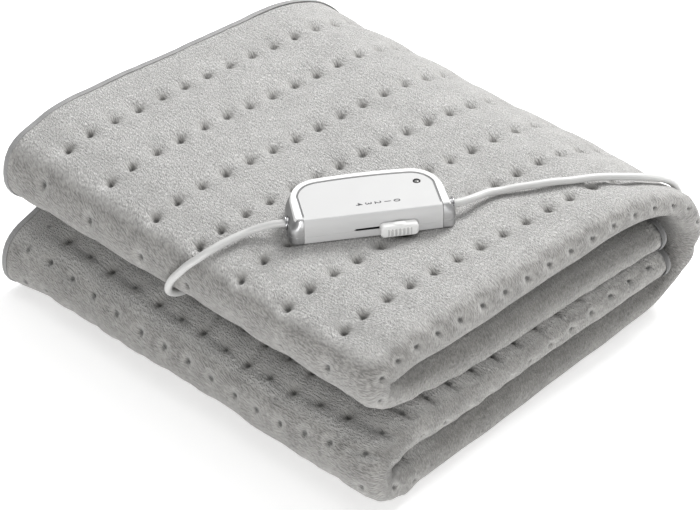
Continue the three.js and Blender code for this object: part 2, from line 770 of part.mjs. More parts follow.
function plugRelief() {
  const geometry = revolved(
    [
      [0, 0],
      [3.5, 0],
      [5.2, PLUG.relief],
      [0, PLUG.relief],
    ],
    16,
  );
  geometry.translate(PLUG.axis, PLUG.from - PLUG.relief, PLUG.thickness / 2);
  return geometry;
}

// Flat two-pin plug lying on the surface, its pins pointing to the back.
function plugBody() {
  const { width, length, thickness } = PLUG;
  const shape = new THREE.Shape();
  shape.moveTo(-6.5, 0);
  shape.lineTo(6.5, 0);
  shape.quadraticCurveTo(width / 2, 3, width / 2, 13);
  shape.lineTo(width / 2, length);
  shape.lineTo(-width / 2, length);
  shape.lineTo(-width / 2, 13);
  shape.quadraticCurveTo(-width / 2, 3, -6.5, 0);
  const bevel = 2;
  const geometry = new THREE.ExtrudeGeometry(shape, {
    depth: thickness - 2 * bevel,
    bevelSize: bevel,
    bevelThickness: bevel,
    bevelOffset: -bevel,
    bevelSegments: 2,
    curveSegments: 6,
  });
  geometry.translate(PLUG.axis, PLUG.from + GAP, bevel);
  return geometry;
}

function plugPin(side) {
  const geometry = new THREE.CylinderGeometry(PIN.diameter / 2, PIN.diameter / 2, PIN.length, 12);
  const from = PLUG.from + PLUG.length + 2 * GAP;
  geometry.translate(PLUG.axis + (side * PIN.gap) / 2, from + PIN.length / 2, PLUG.thickness / 2);
  return geometry;
}

// ---- the part ------------------------------------------------------------------------------

const part = new THREE.Group();

function place(parent, name, shape, material) {
  const mesh = new THREE.Mesh(shape.isBufferGeometry ? shape : toGeometry(shape), material);
  mesh.name = name;
  parent.add(mesh);
  return mesh;
}

const LAST = STATIONS.length - 1;
place(part, 'pad', padSolid(), FLEECE);
place(part, 'binding_long_upper', hemTape(1), SATIN_TAPE);
place(part, 'binding_long_lower', hemTape(-1), SATIN_TAPE);
place(part, 'binding_end_upper', endTape(STATIONS[0], STATIONS[1], -1), SATIN_TAPE);
place(part, 'binding_end_lower', endTape(STATIONS[LAST], STATIONS[LAST - 1], 1), SATIN_TAPE);

const controller = new THREE.Group();
controller.position.set(...CONTROLLER.front, CONTROLLER.base);
controller.rotation.z = THREE.MathUtils.degToRad(CONTROLLER.turn);
part.add(controller);
place(controller, 'controller_housing', housing(), WHITE_PLASTIC);
place(controller, 'face_panel', facePanel(), PANEL_PLASTIC);
place(controller, 'panel_inlay', inlay(), BRUSHED_METAL);
place(controller, 'end_cap_left', endCap(false), BRUSHED_METAL);
place(controller, 'end_cap_right', endCap(true), BRUSHED_METAL);
place(controller, 'slot_track', slotBacking(), DARK_PLASTIC);
place(controller, 'indicator_lens', indicatorLens(), LENS_PLASTIC);
place(controller, 'grommet_left', exitRing(false), BRUSHED_METAL);
place(controller, 'grommet_right', exitRing(true), BRUSHED_METAL);
place(controller, 'slider_knob', sliderKnob(), WHITE_PLASTIC).position.x = KNOB.centre;

place(part, 'pad_lead', tube(PAD_LEAD, 38), CORD_PVC);
place(part, 'lead_entry', leadEntry(), CORD_PVC);
place(part, 'mains_lead', tube(MAINS_LEAD, 40), CORD_PVC);
place(part, 'lead_coil', coilRing(), CORD_PVC);
place(part, 'coil_tie', coilTie(), WHITE_PLASTIC);
place(part, 'lead_tail', tube(TAIL, 4), CORD_PVC);
place(part, 'plug_relief', plugRelief(), CORD_PVC);
place(part, 'plug_body', plugBody(), WHITE_PLASTIC);
place(part, 'plug_pin_left', plugPin(-1), PIN_METAL);
place(part, 'plug_pin_right', plugPin(1), PIN_METAL);

export default part;
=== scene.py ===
"""Heated mattress pad, folded for the shelf: a quilted fleece pad with satin binding, with its
slide controller and both leads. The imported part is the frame, in metres, +Z up."""
import math
from functools import reduce

import bmesh
import bpy
import numpy as np
from mathutils import Matrix, Vector


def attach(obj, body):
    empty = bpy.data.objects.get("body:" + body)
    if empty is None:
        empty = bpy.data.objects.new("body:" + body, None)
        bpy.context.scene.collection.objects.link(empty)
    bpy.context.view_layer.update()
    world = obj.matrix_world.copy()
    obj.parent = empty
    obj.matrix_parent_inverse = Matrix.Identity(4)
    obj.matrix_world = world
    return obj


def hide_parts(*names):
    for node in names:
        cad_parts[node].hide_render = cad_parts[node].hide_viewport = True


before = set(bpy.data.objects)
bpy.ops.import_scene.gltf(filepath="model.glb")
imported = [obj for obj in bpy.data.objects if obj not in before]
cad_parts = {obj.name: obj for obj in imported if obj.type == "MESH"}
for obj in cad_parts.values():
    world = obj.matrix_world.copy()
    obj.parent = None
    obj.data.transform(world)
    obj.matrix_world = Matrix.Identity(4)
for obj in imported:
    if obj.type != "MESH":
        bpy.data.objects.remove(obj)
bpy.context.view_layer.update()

MM = 0.001
TAU = 2 * math.pi

# ---- tools that the pieces share ------------------------------------------------------------


def add_object(name, data):
    piece = bpy.data.objects.new(name, data)
    bpy.context.scene.collection.objects.link(piece)
    return piece


def eased(share):
    """A share, 0 to 1, with a soft start and end."""
    return share * share * (3 - 2 * share)


def fade(distance, width):
    """0 at no distance or less, 1 from a width on, and even between."""
    return np.clip(distance / width, 0, 1)


def curve_between(a, b, slope_a, slope_b, share):
    """The smooth curve from a to b that leaves and arrives with the given slopes."""
    bend = 3 * (b - a) - 2 * slope_a - slope_b
    return a + share * (slope_a + share * (bend + share * (2 * (a - b) + slope_a + slope_b)))


# ---- camera ---------------------------------------------------------------------------------

VIEW_TARGET = Vector((-0.037, -0.0307, 0.070))
VIEW_DISTANCE = 1.939
VIEW_AZIMUTH = math.radians(-47.3)
VIEW_ELEVATION = math.radians(37.0)
VIEW_LENS, VIEW_SENSOR = 129.65, 36.0


def add_camera():
    data = bpy.data.cameras.new("camera")
    data.lens = VIEW_LENS
    data.sensor_width = VIEW_SENSOR
    camera = add_object("camera", data)
    level, up = math.cos(VIEW_ELEVATION), math.sin(VIEW_ELEVATION)
    back = Vector((math.sin(VIEW_AZIMUTH) * level, -math.cos(VIEW_AZIMUTH) * level, up))
    camera.location = VIEW_TARGET + VIEW_DISTANCE * back
    camera.rotation_euler = back.to_track_quat("Z", "Y").to_euler()
    bpy.context.scene.camera = camera


add_camera()

# ---- leads ----------------------------------------------------------------------------------

LEAD = 0.0058  # diameter

# Middle lines of the leads where they aren't coiled.
PAD_LEAD = [
    (-0.1155, -0.0465, 0.1515),
    (-0.1202, -0.0431, 0.1515),
    (-0.1261, -0.0375, 0.1508),
    (-0.1342, -0.0289, 0.1472),
    (-0.1409, -0.0240, 0.1446),
    (-0.1533, -0.0190, 0.1422),
    (-0.1703, -0.0130, 0.1372),
    (-0.1774, -0.0085, 0.1321),
    (-0.1819, -0.0033, 0.1266),
    (-0.1854, 0.0022, 0.1191),
    (-0.1876, 0.0080, 0.1109),
    (-0.1869, 0.0130, 0.1012),
    (-0.1827, 0.0165, 0.0927),
    (-0.1731, 0.0196, 0.0845),
    (-0.1589, 0.0218, 0.0785),
    (-0.1380, 0.0238, 0.0738),
    (-0.1120, 0.0258, 0.0716),
    (-0.0840, 0.0278, 0.0710),
    (-0.0540, 0.0302, 0.0708),
    (-0.0240, 0.0330, 0.0706),
    (0.0060, 0.0362, 0.0705),
    (0.0360, 0.0396, 0.0703),
    (0.0620, 0.0426, 0.0698),
    (0.0820, 0.0446, 0.0692),
    (0.0967, 0.0450, 0.0689),
]
MAINS_LEAD = [
    (-0.0234, -0.1137, 0.1515),
    (-0.0187, -0.1171, 0.1515),
    (-0.0135, -0.1198, 0.1515),
    (-0.0045, -0.1223, 0.1510),
    (0.0154, -0.1230, 0.1466),
    (0.0246, -0.1257, 0.1445),
    (0.0350, -0.1310, 0.1444),
    (0.0478, -0.1388, 0.1441),
    (0.0614, -0.1469, 0.1436),
    (0.0749, -0.1550, 0.1420),
    (0.0880, -0.1622, 0.1410),
    (0.1000, -0.1688, 0.1388),
    (0.1110, -0.1744, 0.1358),
    (0.1210, -0.1788, 0.1326),
    (0.1320, -0.1822, 0.1280),
    (0.1440, -0.1838, 0.1218),
    (0.1560, -0.1832, 0.1140),
    (0.1674, -0.1822, 0.1046),
    (0.1768, -0.1812, 0.0930),
    (0.1836, -0.1804, 0.0786),
    (0.1878, -0.1796, 0.0620),
    (0.1896, -0.1782, 0.0456),
    (0.1900, -0.1746, 0.0300),
    (0.1896, -0.1674, 0.0166),
    (0.1886, -0.1570, 0.0080),
    (0.1872, -0.1446, 0.0039),
    (0.1854, -0.1300, 0.0031),
    (0.1838, -0.1154, 0.0031),
    (0.1826, -0.1004, 0.0035),
    (0.1822, -0.0834, 0.0040),
]
TAIL = [
    (0.1822, -0.0366, 0.0094),
    (0.1825, -0.0255, 0.0083),
    (0.1838, -0.0145, 0.0074),
    (0.1853, -0.0035, 0.0070),
    (0.1860, 0.0077, 0.0069),
]

COIL_CENTRE = (0.220, -0.060)
COIL_ACROSS = 0.064  # at the middle of its turns
COIL_FLOOR = 0.0016  # underside of the lowest turns
COIL_TURNS = 5
POINTS_PER_TURN = 24


def coil_points():
    """Two turns inwards on the floor, a climb at the innermost, and back out over them."""
    outer, middle, inner = (COIL_ACROSS / 2 + step * LEAD for step in (1, 0, -1))
    low, high = COIL_FLOOR + LEAD / 2, COIL_FLOOR + 1.5 * LEAD
    # Turns gone, radius and height, with a soft step between two stations. A turn moves in or out
    # where its neighbours do, and each is off the innermost place before the next climbs to it.
    stations = [
        (0.0, outer, low),
        (0.55, outer, low),
        (1.0, middle, low),
        (1.55, middle, low),
        (2.0, inner, low),
        (2.02, inner, low),
        (2.34, inner, high),
        (2.92, inner, high),
        (3.25, middle, high),
        (3.92, middle, high),
        (4.25, outer, high),
        (COIL_TURNS, outer, high),
    ]
    points = []
    for step in range(1, COIL_TURNS * POINTS_PER_TURN):
        gone = step / POINTS_PER_TURN
        before = max(i for i, station in enumerate(stations) if station[0] <= gone)
        start, end = stations[before], stations[before + 1]
        blend = eased((gone - start[0]) / (end[0] - start[0]))
        radius, height = (start[k] + (end[k] - start[k]) * blend for k in (1, 2))
        angle = math.pi - TAU * gone
        across, along = radius * math.cos(angle), radius * math.sin(angle)
        points.append((COIL_CENTRE[0] + across, COIL_CENTRE[1] + along, height))
    return points


def between(a, b, first, last, at):
    return a + (b - a) * (at - first) / (last - first)


def smooth_run(points, steps=6):
    """Points on a smooth curve through the given ones, evened out for their uneven spacing."""
    p = np.array(points, float)
    p = np.vstack([2 * p[0] - p[1], p, 2 * p[-1] - p[-2]])
    run = []
    for i in range(1, len(p) - 2):
        knots = np.cumsum([0.0] + [np.linalg.norm(p[k + 1] - p[k]) ** 0.5 for k in range(i - 1, i + 2)])
        for at in np.linspace(knots[1], knots[2], steps, endpoint=False):
            one = [between(p[i - 1 + k], p[i + k], knots[k], knots[k + 1], at) for k in range(3)]
            two = [between(one[k], one[k + 1], knots[k], knots[k + 2], at) for k in range(2)]
            run.append(between(two[0], two[1], knots[1], knots[2], at))
    run.append(p[-2])
    return np.array(run)


def lead_curve(name, run):
    curve = bpy.data.curves.new(name, "CURVE")
    curve.dimensions = "3D"
    curve.bevel_depth = LEAD / 2
    curve.bevel_resolution = 5
    curve.use_fill_caps = True
    spline = curve.splines.new("POLY")
    spline.points.add(len(run) - 1)
    for point, place in zip(spline.points, run):
        point.co = (*place, 1.0)
    spline.use_smooth = True
    return add_object(name, curve)


pad_lead_run = smooth_run(PAD_LEAD)
mains_lead_run = np.vstack([smooth_run(MAINS_LEAD), coil_points(), smooth_run(TAIL)])
pad_lead = lead_curve("lead_to_pad", pad_lead_run)
mains_lead = lead_curve("lead_to_mains", mains_lead_run)

# ---- building and changing pieces -----------------------------------------------------------


def new_piece(name, vertices, faces):
    mesh = bpy.data.meshes.new(name)
    mesh.from_pydata([tuple(v) for v in vertices], [], faces)
    mesh.update()
    mesh.shade_smooth()
    return add_object(name, mesh)


def ride_on(body, *pieces):
    for piece in pieces:
        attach(piece, body)


def evaluated_mesh(piece):
    graph = bpy.context.evaluated_depsgraph_get()
    return bpy.data.meshes.new_from_object(piece.evaluated_get(graph))


def apply_modifiers(piece):
    """Bakes the modifiers of a piece into its mesh."""
    applied = evaluated_mesh(piece)
    piece.modifiers.clear()
    before = piece.data
    piece.data = applied
    bpy.data.meshes.remove(before)


def combine(piece, tool, operation):
    """Joins, cuts or intersects a piece with a tool, and takes the tool away."""
    modifier = piece.modifiers.new("combine", "BOOLEAN")
    modifier.operation = operation
    modifier.solver = "MANIFOLD"
    modifier.object = tool
    apply_modifiers(piece)
    shape = tool.data
    bpy.data.objects.remove(tool)
    bpy.data.meshes.remove(shape)
    return piece


def lay_coordinates(piece, name, values):
    """Gives each corner of a piece the flat coordinates of its vertex."""
    layer = piece.data.uv_layers.new(name=name)
    corners = np.empty(len(piece.data.loops), np.int32)
    piece.data.loops.foreach_get("vertex_index", corners)
    layer.data.foreach_set("uv", np.asarray(values, np.float32)[corners].ravel())


def lay_values(piece, name, values):
    """Gives each vertex of a piece one value of its own."""
    layer = piece.data.attributes.new(name, "FLOAT", "POINT")
    layer.data.foreach_set("value", values.astype(np.float32))


def ring_faces(rings, size, closed=True):
    """Quads between neighbouring rings of points."""
    faces = []
    for r in range(rings - 1):
        for i in range(size if closed else size - 1):
            j = (i + 1) % size
            faces.append((r * size + i, r * size + j, (r + 1) * size + j, (r + 1) * size + i))
    return faces


def closing_faces(rings, size):
    """Quads between the last ring of points and the first."""
    last = (rings - 1) * size
    return [(last + i, last + (i + 1) % size, (i + 1) % size, i) for i in range(size)]


def face_outwards(piece):
    """Turns all faces of a closed piece outwards."""
    shape = bmesh.new()
    shape.from_mesh(piece.data)
    bmesh.ops.recalc_face_normals(shape, faces=shape.faces)
    if shape.calc_volume(signed=True) < 0:
        bmesh.ops.reverse_faces(shape, faces=shape.faces)
    shape.to_mesh(piece.data)
    shape.free()
    return piece


def loft(name, rings):
    """A closed piece through rings of points, with a flat face at each end."""
    rings = [[tuple(p) for p in ring] for ring in rings]
    size = len(rings[0])
    faces = ring_faces(len(rings), size)
    faces.append(tuple(reversed(range(size))))
    last = (len(rings) - 1) * size
    faces.append(tuple(range(last, last + size)))
    return face_outwards(new_piece(name, [p for ring in rings for p in ring], faces))


# ---- the folded pad -------------------------------------------------------------------------

DEPTH = 0.400  # the doubled pad, from the rolled edge (-Y) to the bound edge (+Y)
HOLLOW = 0.003  # half of the gap between the two plies
HEM_PLY = 0.0065  # the pad pinched in its binding
HEM_TAPER = 0.030  # run over which the ply thins towards its binding
EDGE_BACK = 0.0025  # the fleece ends this far inside its binding
TWIST = math.radians(-4.6)  # turn of the top layer against the base
TWIST_HEIGHT = 0.140  # height at which that turn is reached

# Rows along the doubled pad, in millimetres, from the upper inner flap's free end, over the top
# and under the bottom, to the lower inner flap's free end: the middle line's x and z, half of the
# thickness at the rolled and at the bound edge, how far the row has shifted in x and in z at the
# bound edge, how far the rolled edge is set back, and where the middle line of pits crosses the
# rolled edge, in degrees round it.
SECTIONS = [
    (138, 83.5, 13.0, 10.0, 0, -4, -2, 35),
    (97, 86.0, 17.0, 11.0, 0, -2, -2, 35),
    (17, 87.5, 18.0, 11.5, 0, 0, -3, 35),
    (-63, 88.0, 18.0, 11.5, 0, 0, -2, 35),
    (-123, 90.0, 16.0, 11.5, -3, -6, 2, 42),
    (-150, 94.5, 13.5, 11.5, -8, -11, 1, 56),
    (-163.5, 107.0, 14.0, 11.5, -12, -9, -3, 68),
    (-162.5, 118.0, 15.0, 11.5, -11, -5.5, -5, 76),
    (-142, 125.0, 16.0, 11.5, -6, -0.5, -5, 75),
    (-93, 126.0, 17.5, 12.0, 0, 2.5, -3, 76),
    (-23, 125.0, 17.5, 12.0, 0, 2.0, -1, 77),
    (47, 124.5, 17.0, 12.0, 0, 1.5, 0, 78),
    (107, 122.0, 14.4, 11.5, -2, 1.5, 0, 78),
    (146, 109.8, 12.1, 10.8, -3, -1, 0, 78),
    (173, 88.5, 12.0, 11.0, -3, -5, 0, 74),
    (182, 63.5, 11.0, 11.0, -2, -2, 0, 66),
    (172, 37.5, 11.5, 11.0, 0, 0, 0, 56),
    (145, 20.0, 13.0, 11.0, 0, -3, 1, 46),
    (102, 15.5, 16.5, 11.0, 0, -3, 2, 36),
    (17, 16.3, 18.0, 11.5, 0, -3.2, 2, 34),
    (-63, 16.6, 18.5, 11.5, 0, -3.5, 2, 38),
    (-131, 16.8, 17.5, 11.5, 0, -4.5, 1, 62),
    (-164, 19.5, 15.5, 11.5, -2, -6, -3, 88),
    (-178, 30.5, 14.5, 11.5, -4, -8, -6, 106),
    (-177, 44.0, 14.5, 11.5, -4, -8, -6, 114),
    (-156, 53.5, 15.5, 11.5, -2, -6, -5, 115),
    (-103, 54.0, 17.0, 11.5, 0, -2, -4, 115),
    (-33, 53.5, 17.0, 11.5, 0, 0, -4, 112),
    (37, 53.0, 17.0, 11.5, 0, 0, -4, 86),
    (97, 53.0, 16.0, 11.0, 0, 0, -4, 57),
    (145, 52.5, 13.5, 10.0, 0, 0, -3, 50),
]
COLUMNS = ("x", "z", "roll", "hem", "lean", "drop", "set_back", "crown")
PIECES_PER_SECTION = 40  # of the smooth curve through the rows
SLOPE_REACH = 0.006  # slopes of the middle line are taken over this much each way
BEND_REACH = 0.012  # and its bends over this much
BEND_ROOM = 0.8  # share of a bend's radius that the ply inside it may fill
DROP_POWER = 2.2  # a row's drop grows towards the bound edge by this power
LOFT_POWER = 1.6  # and its thickness towards the rolled edge by this one

# The heat-sealed pits: distance between neighbours along the pad, and the distance of each line
# of pits from the bound edge, up to the line that lies on the rolled edge. Each line's pits are set
# along the pad from their column's place, from the upper hem to the lower one, in millimetres.
PIT_PITCH = 0.0236
PIT_LINES = [0.0472, 0.1025, 0.1600, 0.2108, 0.2613, 0.3090, 0.3587]
LINE_STAGGER = [5.5, 2.5, -0.5, -1.0, -3.5, -3.0, 2.5, 11.0, 9.0, 4.0, 0.0, -3.0, -1.0, 2.0, 4.0]
FOOT_FROM = 0.130  # from here on the lowest layer, the lines lie twice as close


def middle_line():
    """The smooth curve through SECTIONS: how far it has run, and the value of each column there."""
    rows = np.array(SECTIONS, float)
    rows[:, :7] *= MM
    run = np.hypot(*np.diff(rows[:, :2], axis=0).T)[:, None]
    step = np.diff(rows, axis=0) / run
    inner = (step[:-1] * run[1:] + step[1:] * run[:-1]) / (run[:-1] + run[1:])
    slope = np.vstack([step[:1], inner, step[-1:]])
    t = np.linspace(0, 1, PIECES_PER_SECTION, endpoint=False)[:, None]
    fine = []
    for i, length in enumerate(run[:, 0]):
        fine.append(curve_between(rows[i], rows[i + 1], slope[i] * length, slope[i + 1] * length, t))
    fine = np.vstack([*fine, rows[-1:]])
    gone = np.concatenate([[0], np.cumsum(np.hypot(*np.diff(fine[:, :2], axis=0).T))])
    return gone, fine


LINE_GONE, LINE = middle_line()
PAD_RUN = LINE_GONE[-1]


class Stations:
    """Values of the middle line at given runs along it."""

    def __init__(self, gone):
        gone = np.clip(gone, 0, PAD_RUN)
        for k, column in enumerate(COLUMNS):
            setattr(self, column, np.interp(gone, LINE_GONE, LINE[:, k]))
        self.gone = gone
        self.tx, self.tz = self.tangent(gone, SLOPE_REACH)
        before, after = (self.tangent(gone + side * BEND_REACH, BEND_REACH) for side in (-1, 1))
        self.bend = (before[0] * after[1] - before[1] * after[0]) / (2 * BEND_REACH)
        self.from_end = np.minimum(gone, PAD_RUN - gone)
        self.straight = DEPTH - self.set_back - self.roll
        self.whole = 2 * self.straight + math.pi * self.roll

    @staticmethod
    def tangent(gone, reach):
        ends = [np.clip(gone + side * reach, 0, PAD_RUN) for side in (-1, 1)]
        x, z = (np.diff([np.interp(end, LINE_GONE, LINE[:, k]) for end in ends], axis=0)[0] for k in (0, 1))
        # Past a free end both places are the same, and the line has no slope.
        length = np.maximum(np.hypot(x, z), 1e-9)
        return x / length, z / length


def on_pad(at, across, out, along=0.0):
    """A place on the band: across is y, out the offset from the middle line."""
    inside = np.where(out * at.bend > 0, np.abs(at.bend), 0.0)
    squeeze = np.minimum(1, BEND_ROOM / np.maximum(inside * at.roll, 1e-6))
    shift = np.clip(across / DEPTH + 0.5, 0, 1)
    x = at.x - at.tz * out * squeeze + at.tx * along + at.lean * shift
    z = at.z + at.tx * out * squeeze + at.tz * along + at.drop * shift**DROP_POWER
    turn = TWIST * z / TWIST_HEIGHT
    turned_x = x * np.cos(turn) - across * np.sin(turn)
    turned_y = x * np.sin(turn) + across * np.cos(turn)
    return np.stack([turned_x, turned_y, np.maximum(z, 0)], -1)


def half_thickness(at, from_hem):
    fraction = np.clip(from_hem / at.straight, 0, 1)
    return at.hem + (at.roll - at.hem) * fraction**LOFT_POWER


def ply_at(at, from_hem):
    lofty = half_thickness(at, from_hem) - HOLLOW
    return HEM_PLY + (lofty - HEM_PLY) * np.minimum(np.minimum(from_hem, at.from_end) / HEM_TAPER, 1)


def outline(at, arc):
    """The doubled pad's outside at a run round it from the upper hem: y, out, the outward
    direction in both, and the distance from the nearer hem."""
    angle = np.clip((arc - at.straight) / at.roll, 0, math.pi)
    from_hem = np.minimum(np.minimum(arc, at.whole - arc), at.straight)
    flat = half_thickness(at, from_hem)
    rolled = (angle > 0) & (angle < math.pi)
    y = np.where(rolled, at.set_back - DEPTH / 2 + at.roll * (1 - np.sin(angle)), DEPTH / 2 - from_hem)
    out = np.where(rolled, at.roll * np.cos(angle), np.where(angle > 0, -flat, flat))
    return y, out, -np.sin(angle), np.cos(angle), from_hem


def line_places(at):
    """Runs round the doubled pad at the upper hem, at each line of pits and at the lower hem."""
    upper = [np.full_like(at.roll, place) for place in (EDGE_BACK, *PIT_LINES)]
    crown = at.straight + at.roll * np.radians(at.crown)
    return np.stack([*upper, crown, *(at.whole - place for place in reversed(upper))], -1)


LINES = 2 * len(PIT_LINES) + 1
CROWN = len(PIT_LINES)  # the line on the rolled edge
# A place across the pad is counted in lines of pits: -1 at the upper hem, 0 at the first line.
LINE_STEPS = (0, 0.022, 0.046, 0.080, 0.15, 0.32, 0.5, 0.68, 0.85, 0.920, 0.954, 0.978)
HEM_STEPS = (0, 0.06, 0.16, 0.32, 0.55, 0.78, 0.91, 0.95, 0.978)
ACROSS = np.array(
    [-1 + step for step in HEM_STEPS]
    + [line + step for line in range(LINES - 1) for step in LINE_STEPS]
    + [LINES - step for step in reversed((*HEM_STEPS, 1.0))]
)
INNER_EVERY = 12  # the inner skins have every so many of the outer skin's lines


def arc_at(at, across):
    """Run round the doubled pad at places counted in lines of pits, one place to a station."""
    places = line_places(at)
    before = np.clip(np.floor(across).astype(int) + 1, 0, LINES)
    each = np.arange(len(across))
    rest = across - (before - 1)
    return places[each, before] * (1 - rest) + places[each, before + 1] * rest


def row_starts(row):
    """Run along the pad at which a row of SECTIONS lies."""
    return float(LINE_GONE[row * PIECES_PER_SECTION])


def run_where(x, first_row, last_row):
    """Run along the pad at which its middle line reaches x, between two rows of SECTIONS."""
    stretch = slice(first_row * PIECES_PER_SECTION, last_row * PIECES_PER_SECTION)
    way = 1 if LINE[stretch.start, 0] < LINE[stretch.stop, 0] else -1
    return float(np.interp(way * x, way * LINE[stretch, 0], LINE_GONE[stretch]))


# The pits are even along the outer ply, not along the middle line. Round a nose the outer ply is
# the longer one, so there they lie closer along the middle line: by NOSE_GATHER in all round the
# upper nose, by NOSE_LEAD more over the NOSE_EASE that follows it, and by one pitch round the lower
# nose. Along the floor they lie wider, by SLIP in all. Each row below pairs a run counted in even
# pitches with the run along the middle line.
NOSE_LEAD, NOSE_GATHER, NOSE_EASE = 0.004, 0.020, 0.035
SLIP = 0.0095
EVEN_RUN, SLIPPED_RUN = np.array(
    [
        (-NOSE_LEAD - NOSE_GATHER, 0.0),
        (row_starts(5) - NOSE_LEAD - NOSE_GATHER, row_starts(5)),
        (row_starts(8) - NOSE_LEAD, row_starts(8)),
        (row_starts(8) + NOSE_EASE, row_starts(8) + NOSE_EASE),
        (row_starts(18), row_starts(18)),
        (row_starts(22) - SLIP, row_starts(22)),
        (row_starts(25) - SLIP + PIT_PITCH, row_starts(25)),
        (PAD_RUN - SLIP + PIT_PITCH, PAD_RUN),
    ]
).T
TOP_ZERO = run_where(0.0, 9, 11)  # the column of pits at x = 0 on the top layer
FOOT_COLUMN = round((run_where(FOOT_FROM, 17, 20) - TOP_ZERO) / PIT_PITCH)
COLUMN_STEPS = (-0.2, -0.11, -0.05, 0, 0.05, 0.11, 0.2, 0.5)
COVERED_STEPS = (-0.2, 0, 0.2, 0.5)  # where the pad lies under other layers
COVERED = [(0, 4), (18, 20)]  # between these rows of SECTIONS
NOSE_STEP = 0.0028  # widest spacing of the rows where the pad turns over
NOSE_SLACK = 0.3  # and the share of a step that a spacing may be over it
NOSE_BEND = 20  # the pad turns over where it bends by more than this, in radians to the metre
ROW_ROOM = 0.0012  # least distance of a row from the rows at the free ends


def is_covered(gone):
    return any(row_starts(first) <= gone <= row_starts(last) for first, last in COVERED)


def rows_along():
    """Runs along the pad of the rows of points: gathered at the pits, and close where it turns."""
    first = math.floor((EVEN_RUN[0] - TOP_ZERO) / PIT_PITCH)
    last = math.ceil((EVEN_RUN[-1] - TOP_ZERO) / PIT_PITCH) + 1
    rows = []
    for column in range(first, last):
        middle = float(np.interp(TOP_ZERO + column * PIT_PITCH, EVEN_RUN, SLIPPED_RUN))
        steps = COVERED_STEPS if is_covered(middle) else COLUMN_STEPS
        even = TOP_ZERO + (column + np.array(steps)) * PIT_PITCH
        rows += np.interp(even, EVEN_RUN, SLIPPED_RUN).tolist()
    start, end = EDGE_BACK, PAD_RUN - EDGE_BACK
    rows = [start, *(row for row in rows if start + ROW_ROOM < row < end - ROW_ROOM), end]
    close = [rows[0]]
    for row in rows[1:]:
        middle = Stations(np.array([(row + close[-1]) / 2]))
        turns_over = abs(middle.bend[0]) > NOSE_BEND
        parts = math.ceil((row - close[-1]) / NOSE_STEP - NOSE_SLACK) if turns_over else 1
        close.extend(np.linspace(close[-1], row, max(parts, 1) + 1)[1:])
    return np.array(close)


def stagger(across):
    """How far along the pits of each line are set from their column's place."""
    values = np.array([LINE_STAGGER[0], *LINE_STAGGER, LINE_STAGGER[-1]]) * MM
    return np.interp(across, np.arange(-1, LINES + 1), values)


def soft_waves(places, wavelength, count, seed):
    """Smooth unevenness of a surface, about -1 to 1, from a few waves in chance directions."""
    chance = np.random.default_rng(seed)
    directions = chance.normal(size=(count, 3))
    directions /= np.linalg.norm(directions, axis=1)[:, None]
    lengths = wavelength * chance.uniform(0.7, 1.5, count)
    phases = chance.uniform(0, TAU, count)
    total = sum(np.sin(TAU * places @ d / w + f) for d, w, f in zip(directions, lengths, phases))
    return total / math.sqrt(count / 2)


# Depth and reach of a pit's wide dimple, of its core, and of the valley along a line of pits.
DIMPLE_DEPTH, DIMPLE_REACH = 0.0017, 0.0098
CORE_DEPTH, CORE_REACH = 0.0052, 0.0037
VALLEY_DEPTH, VALLEY_REACH = 0.0004, 0.009
END_FADE = 0.06  # the lines' stagger grows from nothing over this much from a free end
EDGE_FADE = 0.02  # and the pits' depth over this much from any edge
NO_PITS_GAP = 60  # lines of pits count as this many times wider apart where the roll has none
WAVES = [(0.0007, 0.110, 7, 4), (0.00035, 0.042, 9, 9)]  # height, length, number and seed


def hollow(depth, reach, distance):
    return depth * np.exp(-((distance / reach) ** 2))


def pit_depth(distance):
    return hollow(DIMPLE_DEPTH, DIMPLE_REACH, distance) + hollow(CORE_DEPTH, CORE_REACH, distance)


def near_floor_roll(gone, across):
    """1 on the rolled edge of the layer on the floor, which has no pits, and 0 elsewhere: from the
    right-hand end to the lower nose, and less than a line of pits to each side of the crown."""
    along = fade(gone - row_starts(16), 0.02) * fade(row_starts(21) + 0.008 - gone, 0.006)
    return along * fade(0.86 - np.abs(across - CROWN), 0.1)


def shade_under_roll_mask(at, arc):
    """Mask of the painted shade under the rolls: 1 where the rolled edge of a layer lies beneath the roll
    above it, and 0 elsewhere.
    """
    angle = np.degrees(np.clip((arc - at.straight) / at.roll, 0, math.pi))
    rise = eased(fade(angle - 45, 95))
    under_top = fade(row_starts(5) - at.gone, 0.02)
    on_floor = fade(at.gone - row_starts(16), 0.03) * fade(row_starts(21) - at.gone, 0.02)
    return rise * np.maximum(under_top, on_floor)


def surface_normals(grid):
    along = np.gradient(grid, axis=0)
    across = np.gradient(grid, axis=1)
    normal = np.cross(across, along)
    return normal / np.maximum(np.linalg.norm(normal, axis=-1), 1e-9)[..., None]


